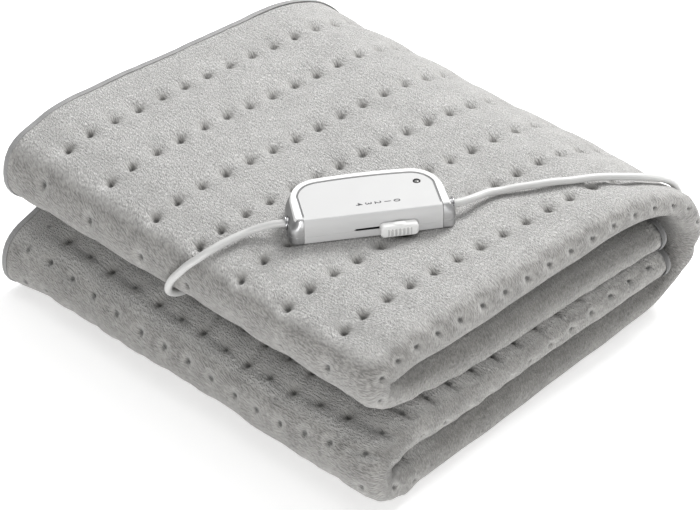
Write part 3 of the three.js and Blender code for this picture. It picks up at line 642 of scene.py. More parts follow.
def make_pad():
    rows = rows_along()
    wide = np.broadcast_to(ACROSS, (len(rows), len(ACROSS)))
    gone = rows[:, None] + stagger(wide) * fade(np.minimum(rows, PAD_RUN - rows), END_FADE)[:, None]
    at = Stations(gone.ravel())
    arc = arc_at(at, wide.ravel())
    y, out, ny, nz, from_hem = outline(at, arc)
    outer = on_pad(at, y, out).reshape(*wide.shape, 3)
    normal = surface_normals(outer)

    even = np.interp(gone - stagger(wide), SLIPPED_RUN, EVEN_RUN)
    stretch = np.linalg.norm(np.gradient(outer, axis=0), axis=-1) / np.gradient(even, axis=0).clip(1e-5)
    girth = np.linalg.norm(np.gradient(outer, axis=1), axis=-1) / np.gradient(wide, axis=1)
    column = (even - TOP_ZERO) / PIT_PITCH
    foot = np.round(column - 0.001) >= FOOT_COLUMN
    smooth_roll = near_floor_roll(gone, wide)

    aside = (column - np.round(column)) * PIT_PITCH * stretch
    on_line = (wide - np.round(wide)) * girth
    between_lines = (wide - np.floor(wide) - 0.5) * girth
    inside = (wide > -0.4) & (wide < LINES - 0.6)
    depth = np.where(inside, pit_depth(np.hypot(aside, on_line)), 0)
    depth += np.where(inside & foot, pit_depth(np.hypot(aside, between_lines)), 0)
    # The pits are shallower where the fleece faces sideways.
    depth *= (1 - smooth_roll) * (0.6 + 0.4 * np.clip(normal[..., 2] * 1.6 - 0.35, 0, 1))
    from_end = np.minimum(gone, PAD_RUN - gone)
    edge_fade = fade(from_hem.reshape(wide.shape), EDGE_FADE) * fade(from_end, EDGE_FADE)
    waves = sum(height * soft_waves(outer, *kind) for height, *kind in WAVES)
    valley = hollow(VALLEY_DEPTH, VALLEY_REACH, on_line)
    outer = outer + normal * ((waves - depth - valley) * edge_fade)[..., None]
    outer[..., 2] = np.maximum(outer[..., 2], 0)

    inner_lines = sorted({*range(0, len(ACROSS), INNER_EVERY), len(ACROSS) - 1})
    ply = ply_at(at, from_hem)
    inner = on_pad(at, y - ply * ny, out - ply * nz).reshape(*wide.shape, 3)[:, inner_lines]
    twice = np.where(foot, 2, 1)
    gap = girth / twice * (1 + NO_PITS_GAP * smooth_roll)
    arc, under_roll_shade = (table.reshape(wide.shape) for table in (arc, shade_under_roll_mask(at, arc)))
    return close_pad(outer, inner, inner_lines, [even, arc, column, wide * twice, gap, under_roll_shade])


def close_pad(outer, inner, inner_lines, tables):
    """The pad as one closed piece, with flat coordinates for its nap and for its pits."""
    rows, lines = outer.shape[:2]
    fewer = len(inner_lines)
    start = rows * lines
    faces = [tuple(face) for face in ring_faces(rows, lines, closed=False)]
    faces += [tuple(start + v for v in reversed(face)) for face in ring_faces(rows, fewer, closed=False)]
    for r in range(rows - 1):
        for end, close in ((0, 0), (lines - 1, fewer - 1)):
            a, b = r * lines + end, (r + 1) * lines + end
            c, d = start + (r + 1) * fewer + close, start + r * fewer + close
            faces.append((a, b, c, d) if end == 0 else (d, c, b, a))
    for r in (0, rows - 1):
        for k in range(fewer - 1):
            edge = [r * lines + line for line in range(inner_lines[k], inner_lines[k + 1] + 1)]
            face = (*edge, start + r * fewer + k + 1, start + r * fewer + k)
            faces.append(tuple(reversed(face)) if r == 0 else face)
    vertices = np.vstack([outer.reshape(-1, 3), inner.reshape(-1, 3)])
    piece = face_outwards(new_piece("fleece_pad", vertices, faces))
    run, arc, column, line, line_gap, under_roll_shade = (
        np.concatenate([table.ravel(), table[:, inner_lines].ravel()]) for table in tables
    )
    lay_coordinates(piece, "cloth", np.stack([run, arc], -1))
    lay_coordinates(piece, "pits", np.stack([column, line], -1))
    lay_values(piece, "line_gap", line_gap)
    # The mask of the painted shade under the rolls, one value to a vertex.
    lay_values(piece, "under_roll_shade", under_roll_shade)
    return piece


pad = make_pad()

# ---- satin binding --------------------------------------------------------------------------

TAPE_LEG = 0.0056  # from the pad's edge to the tape's own edge
TAPE_BULGE = 0.0014  # how far the tape stands out past the pad's edge
TAPE_THICK = 0.0007
TAPE_CLEAR = 0.0001  # between the fleece and the tape
TAPE_PUFF = 0.00035  # how far the tape stands off the fleece beside its seam
TAPE_WAVE = 0.0003  # how far its edges wander
TAPE_STEP = 0.003
FOLD_CENTRE = 0.0022  # of the fold's round, in from the pad's edge
# Along a leg: distance in from the pad's edge, and how puffed the tape is there.
PUFF_PLACES = (-1, 0.002, 0.0031, 0.0045, 0.0050, TAPE_LEG)
PUFF_SHARES = (0, 0, 1, 0.1, 0.35, -0.4)


def tape_profile(bulge):
    """Half of a tape's fold: distances in from the pad's edge, and heights as a fraction, 0 to 1,
    of the height that the tape has over its legs."""
    turn = np.linspace(0, math.pi / 2, 8)
    curve = [(FOLD_CENTRE - (FOLD_CENTRE + bulge) * math.cos(t), math.sin(t)) for t in turn]
    leg = [(place, 1.0) for place in (0.0031, 0.0039, 0.0045, TAPE_LEG - 0.0006, TAPE_LEG)]
    return np.array([*curve, *leg])


def tape_fold():
    """A tape's closed profile, as distance in from the edge, share of the ply, and height over it."""
    points = []
    for outside in (True, False):
        half = tape_profile(TAPE_BULGE if outside else TAPE_BULGE - TAPE_THICK)
        rise = np.full(len(half), TAPE_CLEAR)
        if outside:
            rise = TAPE_THICK + TAPE_CLEAR + TAPE_PUFF * np.interp(half[:, 0], PUFF_PLACES, PUFF_SHARES)
        side = [(h, share, r * share) for (h, share), r in zip(half, rise)]
        other = [(h, -share, -r * share) for (h, share), r in zip(half, rise)]
        whole = [*reversed(other), *side[1:]]
        points += whole if outside else whole[::-1]
    return np.array(points)


def ripple(gone, seed):
    """Slight unevenness of a tape along its run."""
    chance = np.random.default_rng(seed)
    return sum(np.sin(TAU * (gone / w + chance.random())) for w in (0.061, 0.037, 0.023)) / 3


def lay_tape_coordinates(piece, runs, profile):
    across = np.concatenate([[0], np.cumsum(np.hypot(*np.diff(profile[:, [0, 2]], axis=0).T))])
    wide = np.stack(np.broadcast_arrays(np.asarray(runs)[:, None], across[None, :]), -1)
    lay_coordinates(piece, "cloth", wide.reshape(-1, 2))


def long_binding(name, side, seed):
    """The tape along the bound edge, over the upper hem (side 1) or the lower one (side -1)."""
    profile = tape_fold()
    count = math.ceil(PAD_RUN / TAPE_STEP)
    runs = np.linspace(-TAPE_BULGE, PAD_RUN + TAPE_BULGE, count)
    rings = []
    for gone in runs:
        inside = min(max(gone, 0.0), PAD_RUN)
        at = Stations(np.full(len(profile), inside))
        from_hem = np.maximum(profile[:, 0], 0)
        ply = ply_at(at, np.maximum(from_hem, EDGE_BACK))
        middle = half_thickness(at, from_hem) - ply / 2
        out = middle + profile[:, 1] * ply / 2 + profile[:, 2]
        waved = profile[:, 0] + TAPE_WAVE * ripple(gone, seed)
        rings.append(on_pad(at, DEPTH / 2 - waved, side * out, gone - inside))
    piece = loft(name, rings)
    lay_tape_coordinates(piece, runs, profile)
    return piece


def end_binding(name, gone_at_end, inwards, seed):
    """The tape round a free end, from hem to hem over the rolled edge."""
    profile = tape_fold()
    edge = Stations(np.array([gone_at_end]))
    margin = TAPE_LEG + 0.0006
    count = math.ceil(float(edge.whole[0]) / TAPE_STEP)
    runs = np.linspace(margin, float(edge.whole[0]) - margin, count)
    rings = []
    for arc in runs:
        waved = profile[:, 0] + TAPE_WAVE * ripple(arc, seed)
        at = Stations(gone_at_end + inwards * np.maximum(waved, 0))
        y, out, ny, nz, from_hem = outline(at, arc * at.whole / edge.whole)
        ply = ply_at(at, from_hem)
        over = profile[:, 1] * ply / 2 + profile[:, 2] - ply / 2
        rings.append(on_pad(at, y + over * ny, out + over * nz, inwards * np.minimum(waved, 0)))
    piece = loft(name, rings)
    lay_tape_coordinates(piece, runs, profile)
    return piece


bindings = [
    long_binding("binding_upper_hem", 1, 21),
    long_binding("binding_lower_hem", -1, 22),
    end_binding("binding_upper_end", 0.0, 1, 23),
    end_binding("binding_lower_end", PAD_RUN, -1, 24),
]

# ---- controller -----------------------------------------------------------------------------

# In millimetres, in its own frame: x along it, y from its front to its back, z up from its base.
CASE_LENGTH, CASE_DEPTH, CASE_HEIGHT = 124, 55.5, 20.5
CASE_TURN = math.radians(36.1)
CASE_PLACE = (
    Matrix.Translation((-0.1296, -0.0573, 0.1427))
    @ Matrix.Rotation(-CASE_TURN, 4, "Z")
    @ Matrix.Scale(MM, 4)
)
PAST = 5  # a cutting tool reaches this far past the case
BELOW = -1  # and a hollow starts this far under its base
GAP = 0.3  # between neighbouring parts
CORNER = 6  # radius of the front corners
RIM = 4.3  # width of the raised rim round the face
SHELL = 2  # thickness of the face's own shell
FOOT_ROUND = 1.2
BACK_ARCH = 2.6
CAP_WIDTH, CAP_TOP, CAP_NOSE, CAP_WALL = 10.2, 18.2, 3.5, 1.5
PANEL_STRAIGHT = 12  # the face's ends are straight up to this depth
PANEL_DROP = 0.5  # from the rim's top to the face
CLOSEST_CORNERS = 0.05  # of the face's outline
PARTING = 6.3  # height of the line where the two half shells meet
PARTING_GROOVE = [(-0.22, 0), (-0.08, 0.22), (0.08, 0.22), (0.22, 0)]  # heights and depths
INLAY_WIDTH, INLAY_DEPTH = 0.8, 1
EXIT_DEPTH, EXIT_HEIGHT, EXIT_BORE = 17, 8.8, 4.8
SLOT_FROM, SLOT_TO, SLOT_HEIGHT, SLOT_REACH = 47.5, 84.5, 7.6, 5.5
SLOT_ENDS = [(SLOT_FROM, 0.5), (SLOT_FROM + 1.5, 0.9), (SLOT_TO, 1.15)]  # and half its height there
LINING_THICK, LINING_CLEAR, STRIP_HALF, RAIL_FROM, RAIL_TO = 0.9, 0.3, 0.6, 0.62, 1.1
# The knob at setting 0, its ribs (how many, spacing, start over its foot, length, half width, how
# many half widths they stand out, how deep they sit), the rise on its top, and its stem.
KNOB_CENTRE, KNOB_WIDTH, KNOB_HEIGHT, KNOB_BASE, KNOB_REACH = 80, 28.5, 10.4, 1.6, 6
KNOB_CORNER, KNOB_ROUND = 3.4, 1.7
RIBS, RIB_PITCH, RIB_FROM, RIB_LONG = 6, 2.9, 1.5, KNOB_HEIGHT - 4.6
RIB_HALF, RIB_OUT, RIB_SUNK = 1.0, 1.5, 0.2
RISE_HALF, RISE_HIGH, RISE_MIDDLE, RISE_REACH, RISE_SUNK = 5.4, 1.5, -3.3, 2.4, 0.4
STEM_HALF, STEM_THICK, STEM_SHORT = 4.2, 1, 1.6
# The lamp, its lens (share of the lamp's radius, foot, height of its edge, rise of its dome) and its
# collar (share of that radius, and height over the case's top).
LAMP_ALONG, LAMP_DEPTH, LAMP_RADIUS = 101, 35, 2.7
LENS_SHARE, LENS_FOOT, LENS_EDGE, LENS_DOME = 0.66, -3.6, -0.95, 0.55
COLLAR_ROWS = [(0.70, -3.7), (1, -3.7), (1, -0.62), (0.96, -0.5), (0.88, -0.5), (0.80, -0.8), (0.70, -1.2)]
SETTINGS = [("4", 53.4), ("3", 60.3), ("2", 67.3), ("1", 74.5), ("0", 81.5)]  # and places along x
NUMERAL_HIGH, NUMERAL_HEAVY, NUMERAL_THICK, NUMERAL_DEPTH, NUMERAL_LIFT = 6.9, 0.09, 0.02, 14, 0.03


def bezier(points, steps):
    """Points on a curve through its first and last control points, without the last one."""
    t = np.linspace(0, 1, steps, endpoint=False)[:, None]
    points = [np.array(point, float) for point in points]
    while len(points) > 1:
        points = [a + (b - a) * t for a, b in zip(points, points[1:])]
    return list(points[0])


def arc_points(centre, radius, start, end, steps):
    angles = np.radians(np.linspace(start, end, steps, endpoint=False))
    return [np.array(centre) + radius * np.array([math.cos(a), math.sin(a)]) for a in angles]


# Outlines seen from above, where the case is widest and at its top: how far in the front and the
# left-hand end lie, the corner's radius, and the controls of the curve to the arched back.
WIDEST = {"front": 0, "corner": CORNER, "end": (0, 1), "turn": ((2.2, 40), (9, 53.4)), "back": (27, 54.2)}
TOPMOST = {
    "front": 2.6,
    "corner": 4.4,
    "end": (4.7, 5.3),
    "turn": ((6.2, 40), (13.5, 50.5)),
    "back": (28, 51.6),
}
END_MIDDLE = 27


def case_plan(sizes):
    """Straight front, drawn-in ends, large back corners and a slightly arched back."""
    front, corner = sizes["front"], sizes["corner"]
    at_front, at_middle = sizes["end"]
    back = sizes["back"]
    low, near = front + corner, at_front + corner

    def mirrored(point):
        return (CASE_LENGTH - point[0], point[1])

    half_turn = [(at_middle, END_MIDDLE), *sizes["turn"], back]
    plan = bezier([(near, front), (CASE_LENGTH - near, front)], 24)
    plan += arc_points((CASE_LENGTH - near, low), corner, -90, 0, 10)
    plan += bezier([(CASE_LENGTH - at_front, low), mirrored(half_turn[0])], 8)
    plan += bezier([mirrored(point) for point in half_turn], 20)
    plan += bezier([mirrored(back), (CASE_LENGTH / 2, back[1] + BACK_ARCH), back], 30)
    plan += bezier(half_turn[::-1], 20)
    plan += bezier([half_turn[0], (at_front, low)], 8)
    plan += arc_points((near, low), corner, 180, 270, 10)
    return np.array(plan)


PLAN = case_plan(WIDEST)
TOP_PLAN = case_plan(TOPMOST)


def drawn_in(plan, distance):
    tangent = np.roll(plan, -1, 0) - np.roll(plan, 1, 0)
    tangent /= np.linalg.norm(tangent, axis=1)[:, None]
    return plan + distance * np.stack([-tangent[:, 1], tangent[:, 0]], -1)


# Between its widest and its topmost outline: height below the top, and how far the ends and the
# front and back have gone over to the topmost one. The ends slope, and the front is bull-nosed.
TAPER = [
    (11, 0, 0),
    (8.5, 0.12, 0.02),
    (6, 0.38, 0.12),
    (3.8, 0.66, 0.30),
    (1.8, 0.86, 0.54),
    (0.6, 0.95, 0.78),
    (0, 1.06, 1.06),
]
TAPER_STEPS = 5


def soft_steps(values, places):
    """Values at places counted in rows, on a smooth curve that never overshoots them."""
    step = np.diff(values)
    slope = np.zeros(len(values))
    same = step[:-1] * step[1:] > 0
    slope[1:-1][same] = 2 * step[:-1][same] * step[1:][same] / (step[:-1] + step[1:])[same]
    slope[-1] = step[-1]
    before = np.clip(np.floor(places).astype(int), 0, len(values) - 2)
    after = before + 1
    return curve_between(values[before], values[after], slope[before], slope[after], places - before)


def case_outside(drop=0.0, inwards=0.0, base=0.0, grooved=False):
    """The whole controller's outside, lower at its top by a drop, let in all round, with its foot at
    a base height and, if asked, the groove where its half shells meet."""
    levels = []
    for t in np.linspace(math.pi / 2, 0, 5):
        levels.append((base + FOOT_ROUND * (1 - math.sin(t)), FOOT_ROUND * (1 - math.cos(t)), 0, 0))
    if grooved:
        levels += [(PARTING + height, depth, 0, 0) for height, depth in PARTING_GROOVE]
    below, ends, sides = np.array(TAPER).T
    row = np.linspace(0, len(TAPER) - 1, (len(TAPER) - 1) * TAPER_STEPS + 1)
    smooth = [soft_steps(column, row) for column in (below, ends, sides)]
    levels += [(CASE_HEIGHT - drop - down, 0, end, side) for down, end, side in zip(*smooth)]
    rings = []
    for height, inset, end, side in levels:
        plan = PLAN + (TOP_PLAN - PLAN) * (end, side)
        rings.append(np.column_stack([drawn_in(plan, inwards + inset), np.full(len(PLAN), height)]))
    return loft("case", rings)


def block(low, high):
    """A plain block between two opposite corners."""
    corners = [(x, y, z) for z in (low[2], high[2]) for y in (low[1], high[1]) for x in (low[0], high[0])]
    sides = [(0, 2, 3, 1), (4, 5, 7, 6), (0, 1, 5, 4), (2, 6, 7, 3), (0, 4, 6, 2), (1, 3, 7, 5)]
    return new_piece("block", corners, sides)


def prism(plan, low, high):
    return loft("prism", [[(x, y, z) for x, y in plan] for z in (low, high)])


def panel_space(clearance):
    """The space of the face panel: inside the rim at the back and ends, open to the front."""
    side = CAP_WIDTH + GAP - clearance
    within_rim = [p for p in drawn_in(TOP_PLAN, RIM - clearance) if p[1] > PANEL_STRAIGHT]
    points = [(side, -PAST), (CASE_LENGTH - side, -PAST)]
    for x, y in within_rim:
        place = (min(max(x, side), CASE_LENGTH - side), y)
        if math.dist(place, points[-1]) > CLOSEST_CORNERS:
            points.append(place)
    return prism(points, -PAST, CASE_HEIGHT + PAST)


def cap_space(clearance, right):
    """The space of an end cap: the end wall below the rim, and the front corner to the top."""
    width = CAP_WIDTH + clearance
    start, end = (CASE_LENGTH - width, CASE_LENGTH + PAST) if right else (-PAST, width)
    wall = block((start, -PAST, -PAST), (end, CASE_DEPTH + PAST, CAP_TOP + clearance))
    nose = block((start, -PAST - 0.5, -PAST - 0.5), (end, CAP_NOSE + clearance, CASE_HEIGHT + PAST))
    return combine(wall, nose, "UNION")


def turned(name, profile, sides):
    """A piece turned round +Y: rows of (radius, along), on the axis at both ends or closed."""
    on_axis = profile[0][0] < 1e-6
    rows = profile[1:-1] if on_axis else profile
    points = []
    for radius, along in rows:
        for angle in np.linspace(0, TAU, sides, endpoint=False):
            points.append((radius * math.cos(angle), along, radius * math.sin(angle)))
    faces = ring_faces(len(rows), sides)
    last = (len(rows) - 1) * sides
    if on_axis:
        points += [(0, profile[0][1], 0), (0, profile[-1][1], 0)]
        for i in range(sides):
            j = (i + 1) % sides
            faces.append((j, i, len(points) - 2))
            faces.append((last + i, last + j, len(points) - 1))
    else:
        faces += closing_faces(len(rows), sides)
    return face_outwards(new_piece(name, points, faces))


def moved(piece, matrix):
    piece.data.transform(matrix)
    return piece


TO_X = Matrix.Rotation(math.radians(-90), 4, "Z")  # turns an axis along +Y to +X
TO_Z = Matrix.Rotation(math.radians(90), 4, "X")  # and to +Z


def exit_place(right):
    return Matrix.Translation((CASE_LENGTH if right else 0, EXIT_DEPTH, EXIT_HEIGHT))


def on_face(piece):
    """Sets a piece turned round +Y upright at the lamp's place."""
    return moved(piece, Matrix.Translation((LAMP_ALONG, LAMP_DEPTH, CASE_HEIGHT)) @ TO_Z)


def cutting_rod(radius, reach):
    return turned("rod", [(0, -reach), (radius, -reach), (radius, reach), (0, reach)], 48)


def exit_bore(right):
    """Hole through the end wall for the ring that a lead comes out of."""
    return moved(cutting_rod(EXIT_BORE, 7), exit_place(right) @ TO_X)


def slot_space():
    """The slot on the front, which narrows away from the knob's place."""
    shape = [(x, SLOT_HEIGHT - half) for x, half in SLOT_ENDS]
    shape += [(x, SLOT_HEIGHT + half) for x, half in reversed(SLOT_ENDS)]
    rings = [[(x, y, z) for x, z in shape] for y in (-PAST, SLOT_REACH)]
    return loft("slot", rings)


def lamp_hole():
    return on_face(cutting_rod(LAMP_RADIUS + GAP, 4))


def inlay_space(clearance):
    """Thin bright line along the foot of the rim, let into the edge of the face panel."""
    top = CASE_HEIGHT - PANEL_DROP
    band = block((0, CORNER, top - INLAY_DEPTH - clearance), (CASE_LENGTH, CASE_DEPTH, CASE_HEIGHT))
    band = combine(band, panel_space(clearance), "INTERSECT")
    return combine(band, panel_space(-INLAY_WIDTH - clearance), "DIFFERENCE")


CLOSEST_POINTS = 0.004  # nearer than this, two points of a part become one
SHARPEST_KEPT = math.radians(40)  # a sharper edge of a moulded part is broken
FACE_WEIGHT = 80  # how far large faces lead the shading of the small ones beside them


def finished(piece, name, edge, smooth=35):
    """Breaks the sharp edges of a moulded part, names it and sets it in its place. Faces that meet
    at less than the smooth angle, in degrees, are shaded as one."""
    piece.name = name
    piece.data.name = name
    shape = bmesh.new()
    shape.from_mesh(piece.data)
    bmesh.ops.remove_doubles(shape, verts=shape.verts, dist=CLOSEST_POINTS)
    bmesh.ops.dissolve_degenerate(shape, edges=shape.edges, dist=CLOSEST_POINTS)
    shape.to_mesh(piece.data)
    shape.free()
    if edge:
        bevel = piece.modifiers.new("edges", "BEVEL")
        bevel.width = edge
        bevel.segments = 2
        bevel.limit_method = "ANGLE"
        bevel.angle_limit = SHARPEST_KEPT
        apply_modifiers(piece)
    piece.data.shade_smooth()
    piece.data.set_sharp_from_angle(angle=math.radians(smooth))
    even = piece.modifiers.new("even_faces", "WEIGHTED_NORMAL")
    even.mode = "FACE_AREA"
    even.keep_sharp = True
    even.weight = FACE_WEIGHT
    apply_modifiers(piece)
    return moved(piece, CASE_PLACE)


def end_cap(name, right):
    cap = combine(case_outside(grooved=True), cap_space(0, right), "INTERSECT")
    cap = combine(cap, case_outside(CAP_WALL, CAP_WALL, BELOW), "DIFFERENCE")
    cap = combine(cap, exit_bore(right), "DIFFERENCE")
    return finished(cap, name, 0.14)


def face_panel():
    panel = combine(case_outside(PANEL_DROP, grooved=True), panel_space(0), "INTERSECT")
    panel = combine(panel, case_outside(PANEL_DROP + SHELL, SHELL, BELOW), "DIFFERENCE")
    for tool in (inlay_space(GAP), slot_space(), lamp_hole()):
        panel = combine(panel, tool, "DIFFERENCE")
    return finished(panel, "controller_face", 0.12)


def panel_inlay():
    flush = block((0, 0, 0), (CASE_LENGTH, CASE_DEPTH, CASE_HEIGHT - PANEL_DROP))
    return finished(combine(inlay_space(0), flush, "INTERSECT"), "controller_inlay", 0)


def case_housing():
    case = combine(case_outside(grooved=True), panel_space(GAP), "DIFFERENCE")
    drop = PANEL_DROP + SHELL + GAP
    case = combine(case, case_outside(drop, SHELL + GAP), "UNION")
    for right in (False, True):
        within = case_outside(CAP_WALL + GAP, CAP_WALL + GAP, BELOW)
        case = combine(case, combine(cap_space(GAP, right), within, "DIFFERENCE"), "DIFFERENCE")
        case = combine(case, exit_bore(right), "DIFFERENCE")
    for tool in (slot_space(), lamp_hole()):
        case = combine(case, tool, "DIFFERENCE")
    return finished(case, "controller_rim", 0.16)


def slot_shadow_lining():
    """Near-black strips in the slot, standing in for its shade as painted shade: a strip at its bottom, and
    a thin rail above and below the stem.
    """
    start, end = SLOT_FROM + GAP, SLOT_TO - GAP
    back = SLOT_REACH - LINING_CLEAR
    floor_from = (start, back - LINING_THICK, SLOT_HEIGHT - STRIP_HALF)
    strips = [block(floor_from, (end, back, SLOT_HEIGHT + STRIP_HALF))]
    for side in (-1, 1):
        low, high = sorted((SLOT_HEIGHT + side * RAIL_FROM, SLOT_HEIGHT + side * RAIL_TO))
        strips.append(block((start + 1, 0.25, low), (end, back, high)))
    return finished(joined("lining", strips), "slot_shadow_lining", 0.1)


def exit_ring(name, right):
    """Bright ring with two beads, which a lead comes out of."""
    bore = LEAD / MM / 2 + GAP
    sleeve = [(bore, -6), (4.5, -6), (4.5, -0.2)]
    outer_bead = [(5.3, -0.1), (5.5, 0.25), (5.45, 0.6), (5.25, 0.85), (5.0, 0.9), (4.75, 0.75)]
    valley = [(4.65, 0.45), (4.5, 0.45)]
    inner_bead = [(4.42, 0.8), (4.25, 1.1), (4.0, 1.2), (3.75, 1.1), (3.6, 0.85), (3.45, 0.3)]
    ring = turned(name, [*sleeve, *outer_bead, *valley, *inner_bead, (bore, -0.6)], 48)
    flip = Matrix.Identity(4) if right else Matrix.Rotation(math.pi, 4, "Z")
    return finished(moved(ring, exit_place(right) @ flip @ TO_X), name, 0, smooth=50)


def lamp_lens():
    """Small domed lens in a dark collar."""
    radius = LENS_SHARE * LAMP_RADIUS
    turn = np.linspace(0, math.pi / 2, 8)
    dome = [(radius * math.cos(t), LENS_EDGE + LENS_DOME * math.sin(t)) for t in turn]
    profile = [(0, LENS_FOOT), (radius, LENS_FOOT), *dome[:-1], (0, dome[-1][1])]
    return finished(on_face(turned("lens", profile, 40)), "lamp_lens", 0)


def lamp_collar():
    profile = [(share * LAMP_RADIUS, height) for share, height in COLLAR_ROWS]
    return finished(on_face(turned("collar", profile, 48)), "lamp_collar", 0)


def knob_outline(inset):
    """The knob's upright rounded outline, centred on x = 0 and standing on 0, let in all round."""
    width, height = KNOB_WIDTH - 2 * inset, KNOB_HEIGHT - 2 * inset
    radius = max(KNOB_CORNER - inset, 0.3)
    x, top = width / 2 - radius, height - radius
    points = []
    for centre, start in (((x, radius), -90), ((x, top), 0), ((-x, top), 90), ((-x, radius), 180)):
        points += arc_points(centre, radius, start, start + 90, 6)
    return np.array(points) + (0, inset)


def joined(name, pieces):
    """One piece made of several closed shells."""
    shape = bmesh.new()
    for piece in pieces:
        shape.from_mesh(piece.data)
        bpy.data.objects.remove(piece)
    mesh = bpy.data.meshes.new(name)
    shape.to_mesh(mesh)
    shape.free()
    mesh.shade_smooth()
    return add_object(name, mesh)


def oval(centre, half_width, half_height, sides):
    """Points of an oval, across and up from its centre."""
    angles = np.linspace(0, TAU, sides, endpoint=False)
    return [(centre[0] + half_width * math.cos(a), centre[1] + half_height * math.sin(a)) for a in angles]


def knob_rib(along):
    """One upright rib on the knob's front."""
    front = -GAP - KNOB_REACH + RIB_SUNK
    rings = []
    for share in np.linspace(0, 1, 13):
        height = KNOB_BASE + RIB_FROM + share * RIB_LONG
        swell = RIB_HALF * math.sqrt(max(1 - abs(2 * share - 1) ** 4, 0.02))
        rings.append([(x, y, height) for x, y in oval((along, front), swell, RIB_OUT * swell, 12)])
    return loft("rib", rings)


def knob_rise():
    """The small rise on the knob's top."""
    top = KNOB_BASE + KNOB_HEIGHT - RISE_SUNK
    rings = []
    for share in np.linspace(0, 1, 11):
        swell = math.sqrt(max(1 - (2 * share - 1) ** 2, 0.02))
        y = RISE_MIDDLE - RISE_REACH * (2 * share - 1)
        section = oval((KNOB_CENTRE, top), RISE_HALF * swell, RISE_HIGH * swell, 24)
        rings.append([(x, y, z) for x, z in section])
    return loft("rise", rings)


def slider_knob():
    """Ribbed thumb piece on the front, with a small rise on its top and its stem in the slot."""
    steps = [(-GAP, 0.5), (-GAP - 0.15, 0.15), (-GAP - 0.5, 0.0)]
    start = GAP + KNOB_REACH - KNOB_ROUND
    for t in np.linspace(0, math.pi / 2, 7):
        steps.append((-start - KNOB_ROUND * math.sin(t), KNOB_ROUND * (1 - math.cos(t))))
    rings = [[(x + KNOB_CENTRE, y, z + KNOB_BASE) for x, z in knob_outline(inset)] for y, inset in steps]
    ribs = [knob_rib(KNOB_CENTRE + (i - (RIBS - 1) / 2) * RIB_PITCH) for i in range(RIBS)]
    low = (-STEM_HALF, -GAP - 1, -STEM_THICK / 2)
    stem = block(low, (STEM_HALF, SLOT_REACH - STEM_SHORT, STEM_THICK / 2))
    moved(stem, Matrix.Translation((KNOB_CENTRE, 0, SLOT_HEIGHT)))
    knob_parts = [loft("block", rings), *ribs, knob_rise(), stem]
    return finished(joined("knob", knob_parts), "slider_thumb", 0, smooth=50)


def scale_numerals():
    """The five settings, printed on the face beside the slider, read from its right-hand end."""
    pieces = []
    for digit, along in SETTINGS:
        text = bpy.data.curves.new("digit", "FONT")
        text.body = digit
        text.size = NUMERAL_HIGH
        text.offset = NUMERAL_HEAVY
        text.extrude = NUMERAL_THICK
        text.align_x = "CENTER"
        text.align_y = "CENTER"
        text.resolution_u = 6
        letter = add_object("digit", text)
        mesh = evaluated_mesh(letter)
        bpy.data.objects.remove(letter)
        place = Matrix.Translation((along, NUMERAL_DEPTH, CASE_HEIGHT - PANEL_DROP + NUMERAL_LIFT))
        mesh.transform(place @ Matrix.Rotation(math.radians(-90), 4, "Z"))
        pieces.append(bpy.data.objects.new("digit", mesh))
    return finished(joined("numerals", pieces), "scale_numerals", 0)


rim = case_housing()
face = face_panel()
inlay = panel_inlay()
caps = [end_cap("end_cap_near_left", False), end_cap("end_cap_near_right", True)]
slot_strip = slot_shadow_lining()
lens = lamp_lens()
collar = lamp_collar()
exit_rings = [exit_ring("exit_ring_left", False), exit_ring("exit_ring_right", True)]
knob = slider_knob()
numerals = scale_numerals()

# ---- lead entry, coil tie and plug ----------------------------------------------------------


def block_ring(centre, half_width, half_height, power, sides):
    """A ring of points round +Y, an oval at power 2 and squarer with more."""
    points = []
    for angle in np.linspace(0, TAU, sides, endpoint=False):
        c, s = math.cos(angle), math.sin(angle)
        x = math.copysign(abs(c) ** (2 / power), c) * half_width
        z = math.copysign(abs(s) ** (2 / power), s) * half_height
        points.append((centre[0] + x, centre[1], centre[2] + z))
    return points


# Across and up, where the lead goes into the pad, and rows of the moulded piece that it goes
# through: place along the lead, half its width and half its height.
ENTRY_ACROSS, ENTRY_UP = 0.045, 0.0688
ENTRY_ROWS = [
    (0.0970, 0.0034, 0.0026),
    (0.0972, 0.0038, 0.0028),
    (0.1000, 0.0046, 0.0028),
    (0.1030, 0.0070, 0.0028),
    (0.1060, 0.0084, 0.0028),
    (0.1100, 0.0089, 0.0028),
    (0.1190, 0.0090, 0.0027),
    (0.1218, 0.0086, 0.0024),
    (0.1228, 0.0078, 0.0018),
    (0.1230, 0.0070, 0.0013),
]


def lead_entry():
    """Moulded piece sewn to the lower flap, where the lead goes into the pad."""
    rings = []
    for along, half_width, half_height in ENTRY_ROWS:
        ring = block_ring((0, along, 0), half_width, half_height, 3.4, 40)
        rings.append([(y, ENTRY_ACROSS - x, ENTRY_UP + z) for x, y, z in ring])
    return loft("lead_entry_boot", rings)


STRAP_WIDTH, STRAP_THICK, STRAP_CORNER, STRAP_CLEAR = 0.0070, 0.0010, 0.0030, 0.0005
# The strap's flat head: half its size both ways, its foot's height over the turns, and its rows:
# height, and how far each is let out.
HEAD_HALF, HEAD_FOOT = (0.0042, 0.0036), 0.0008
HEAD_ROWS = [(0.0, -0.0006), (0.000112, 0.0), (0.000504, 0.0), (0.000672, -0.0007)]


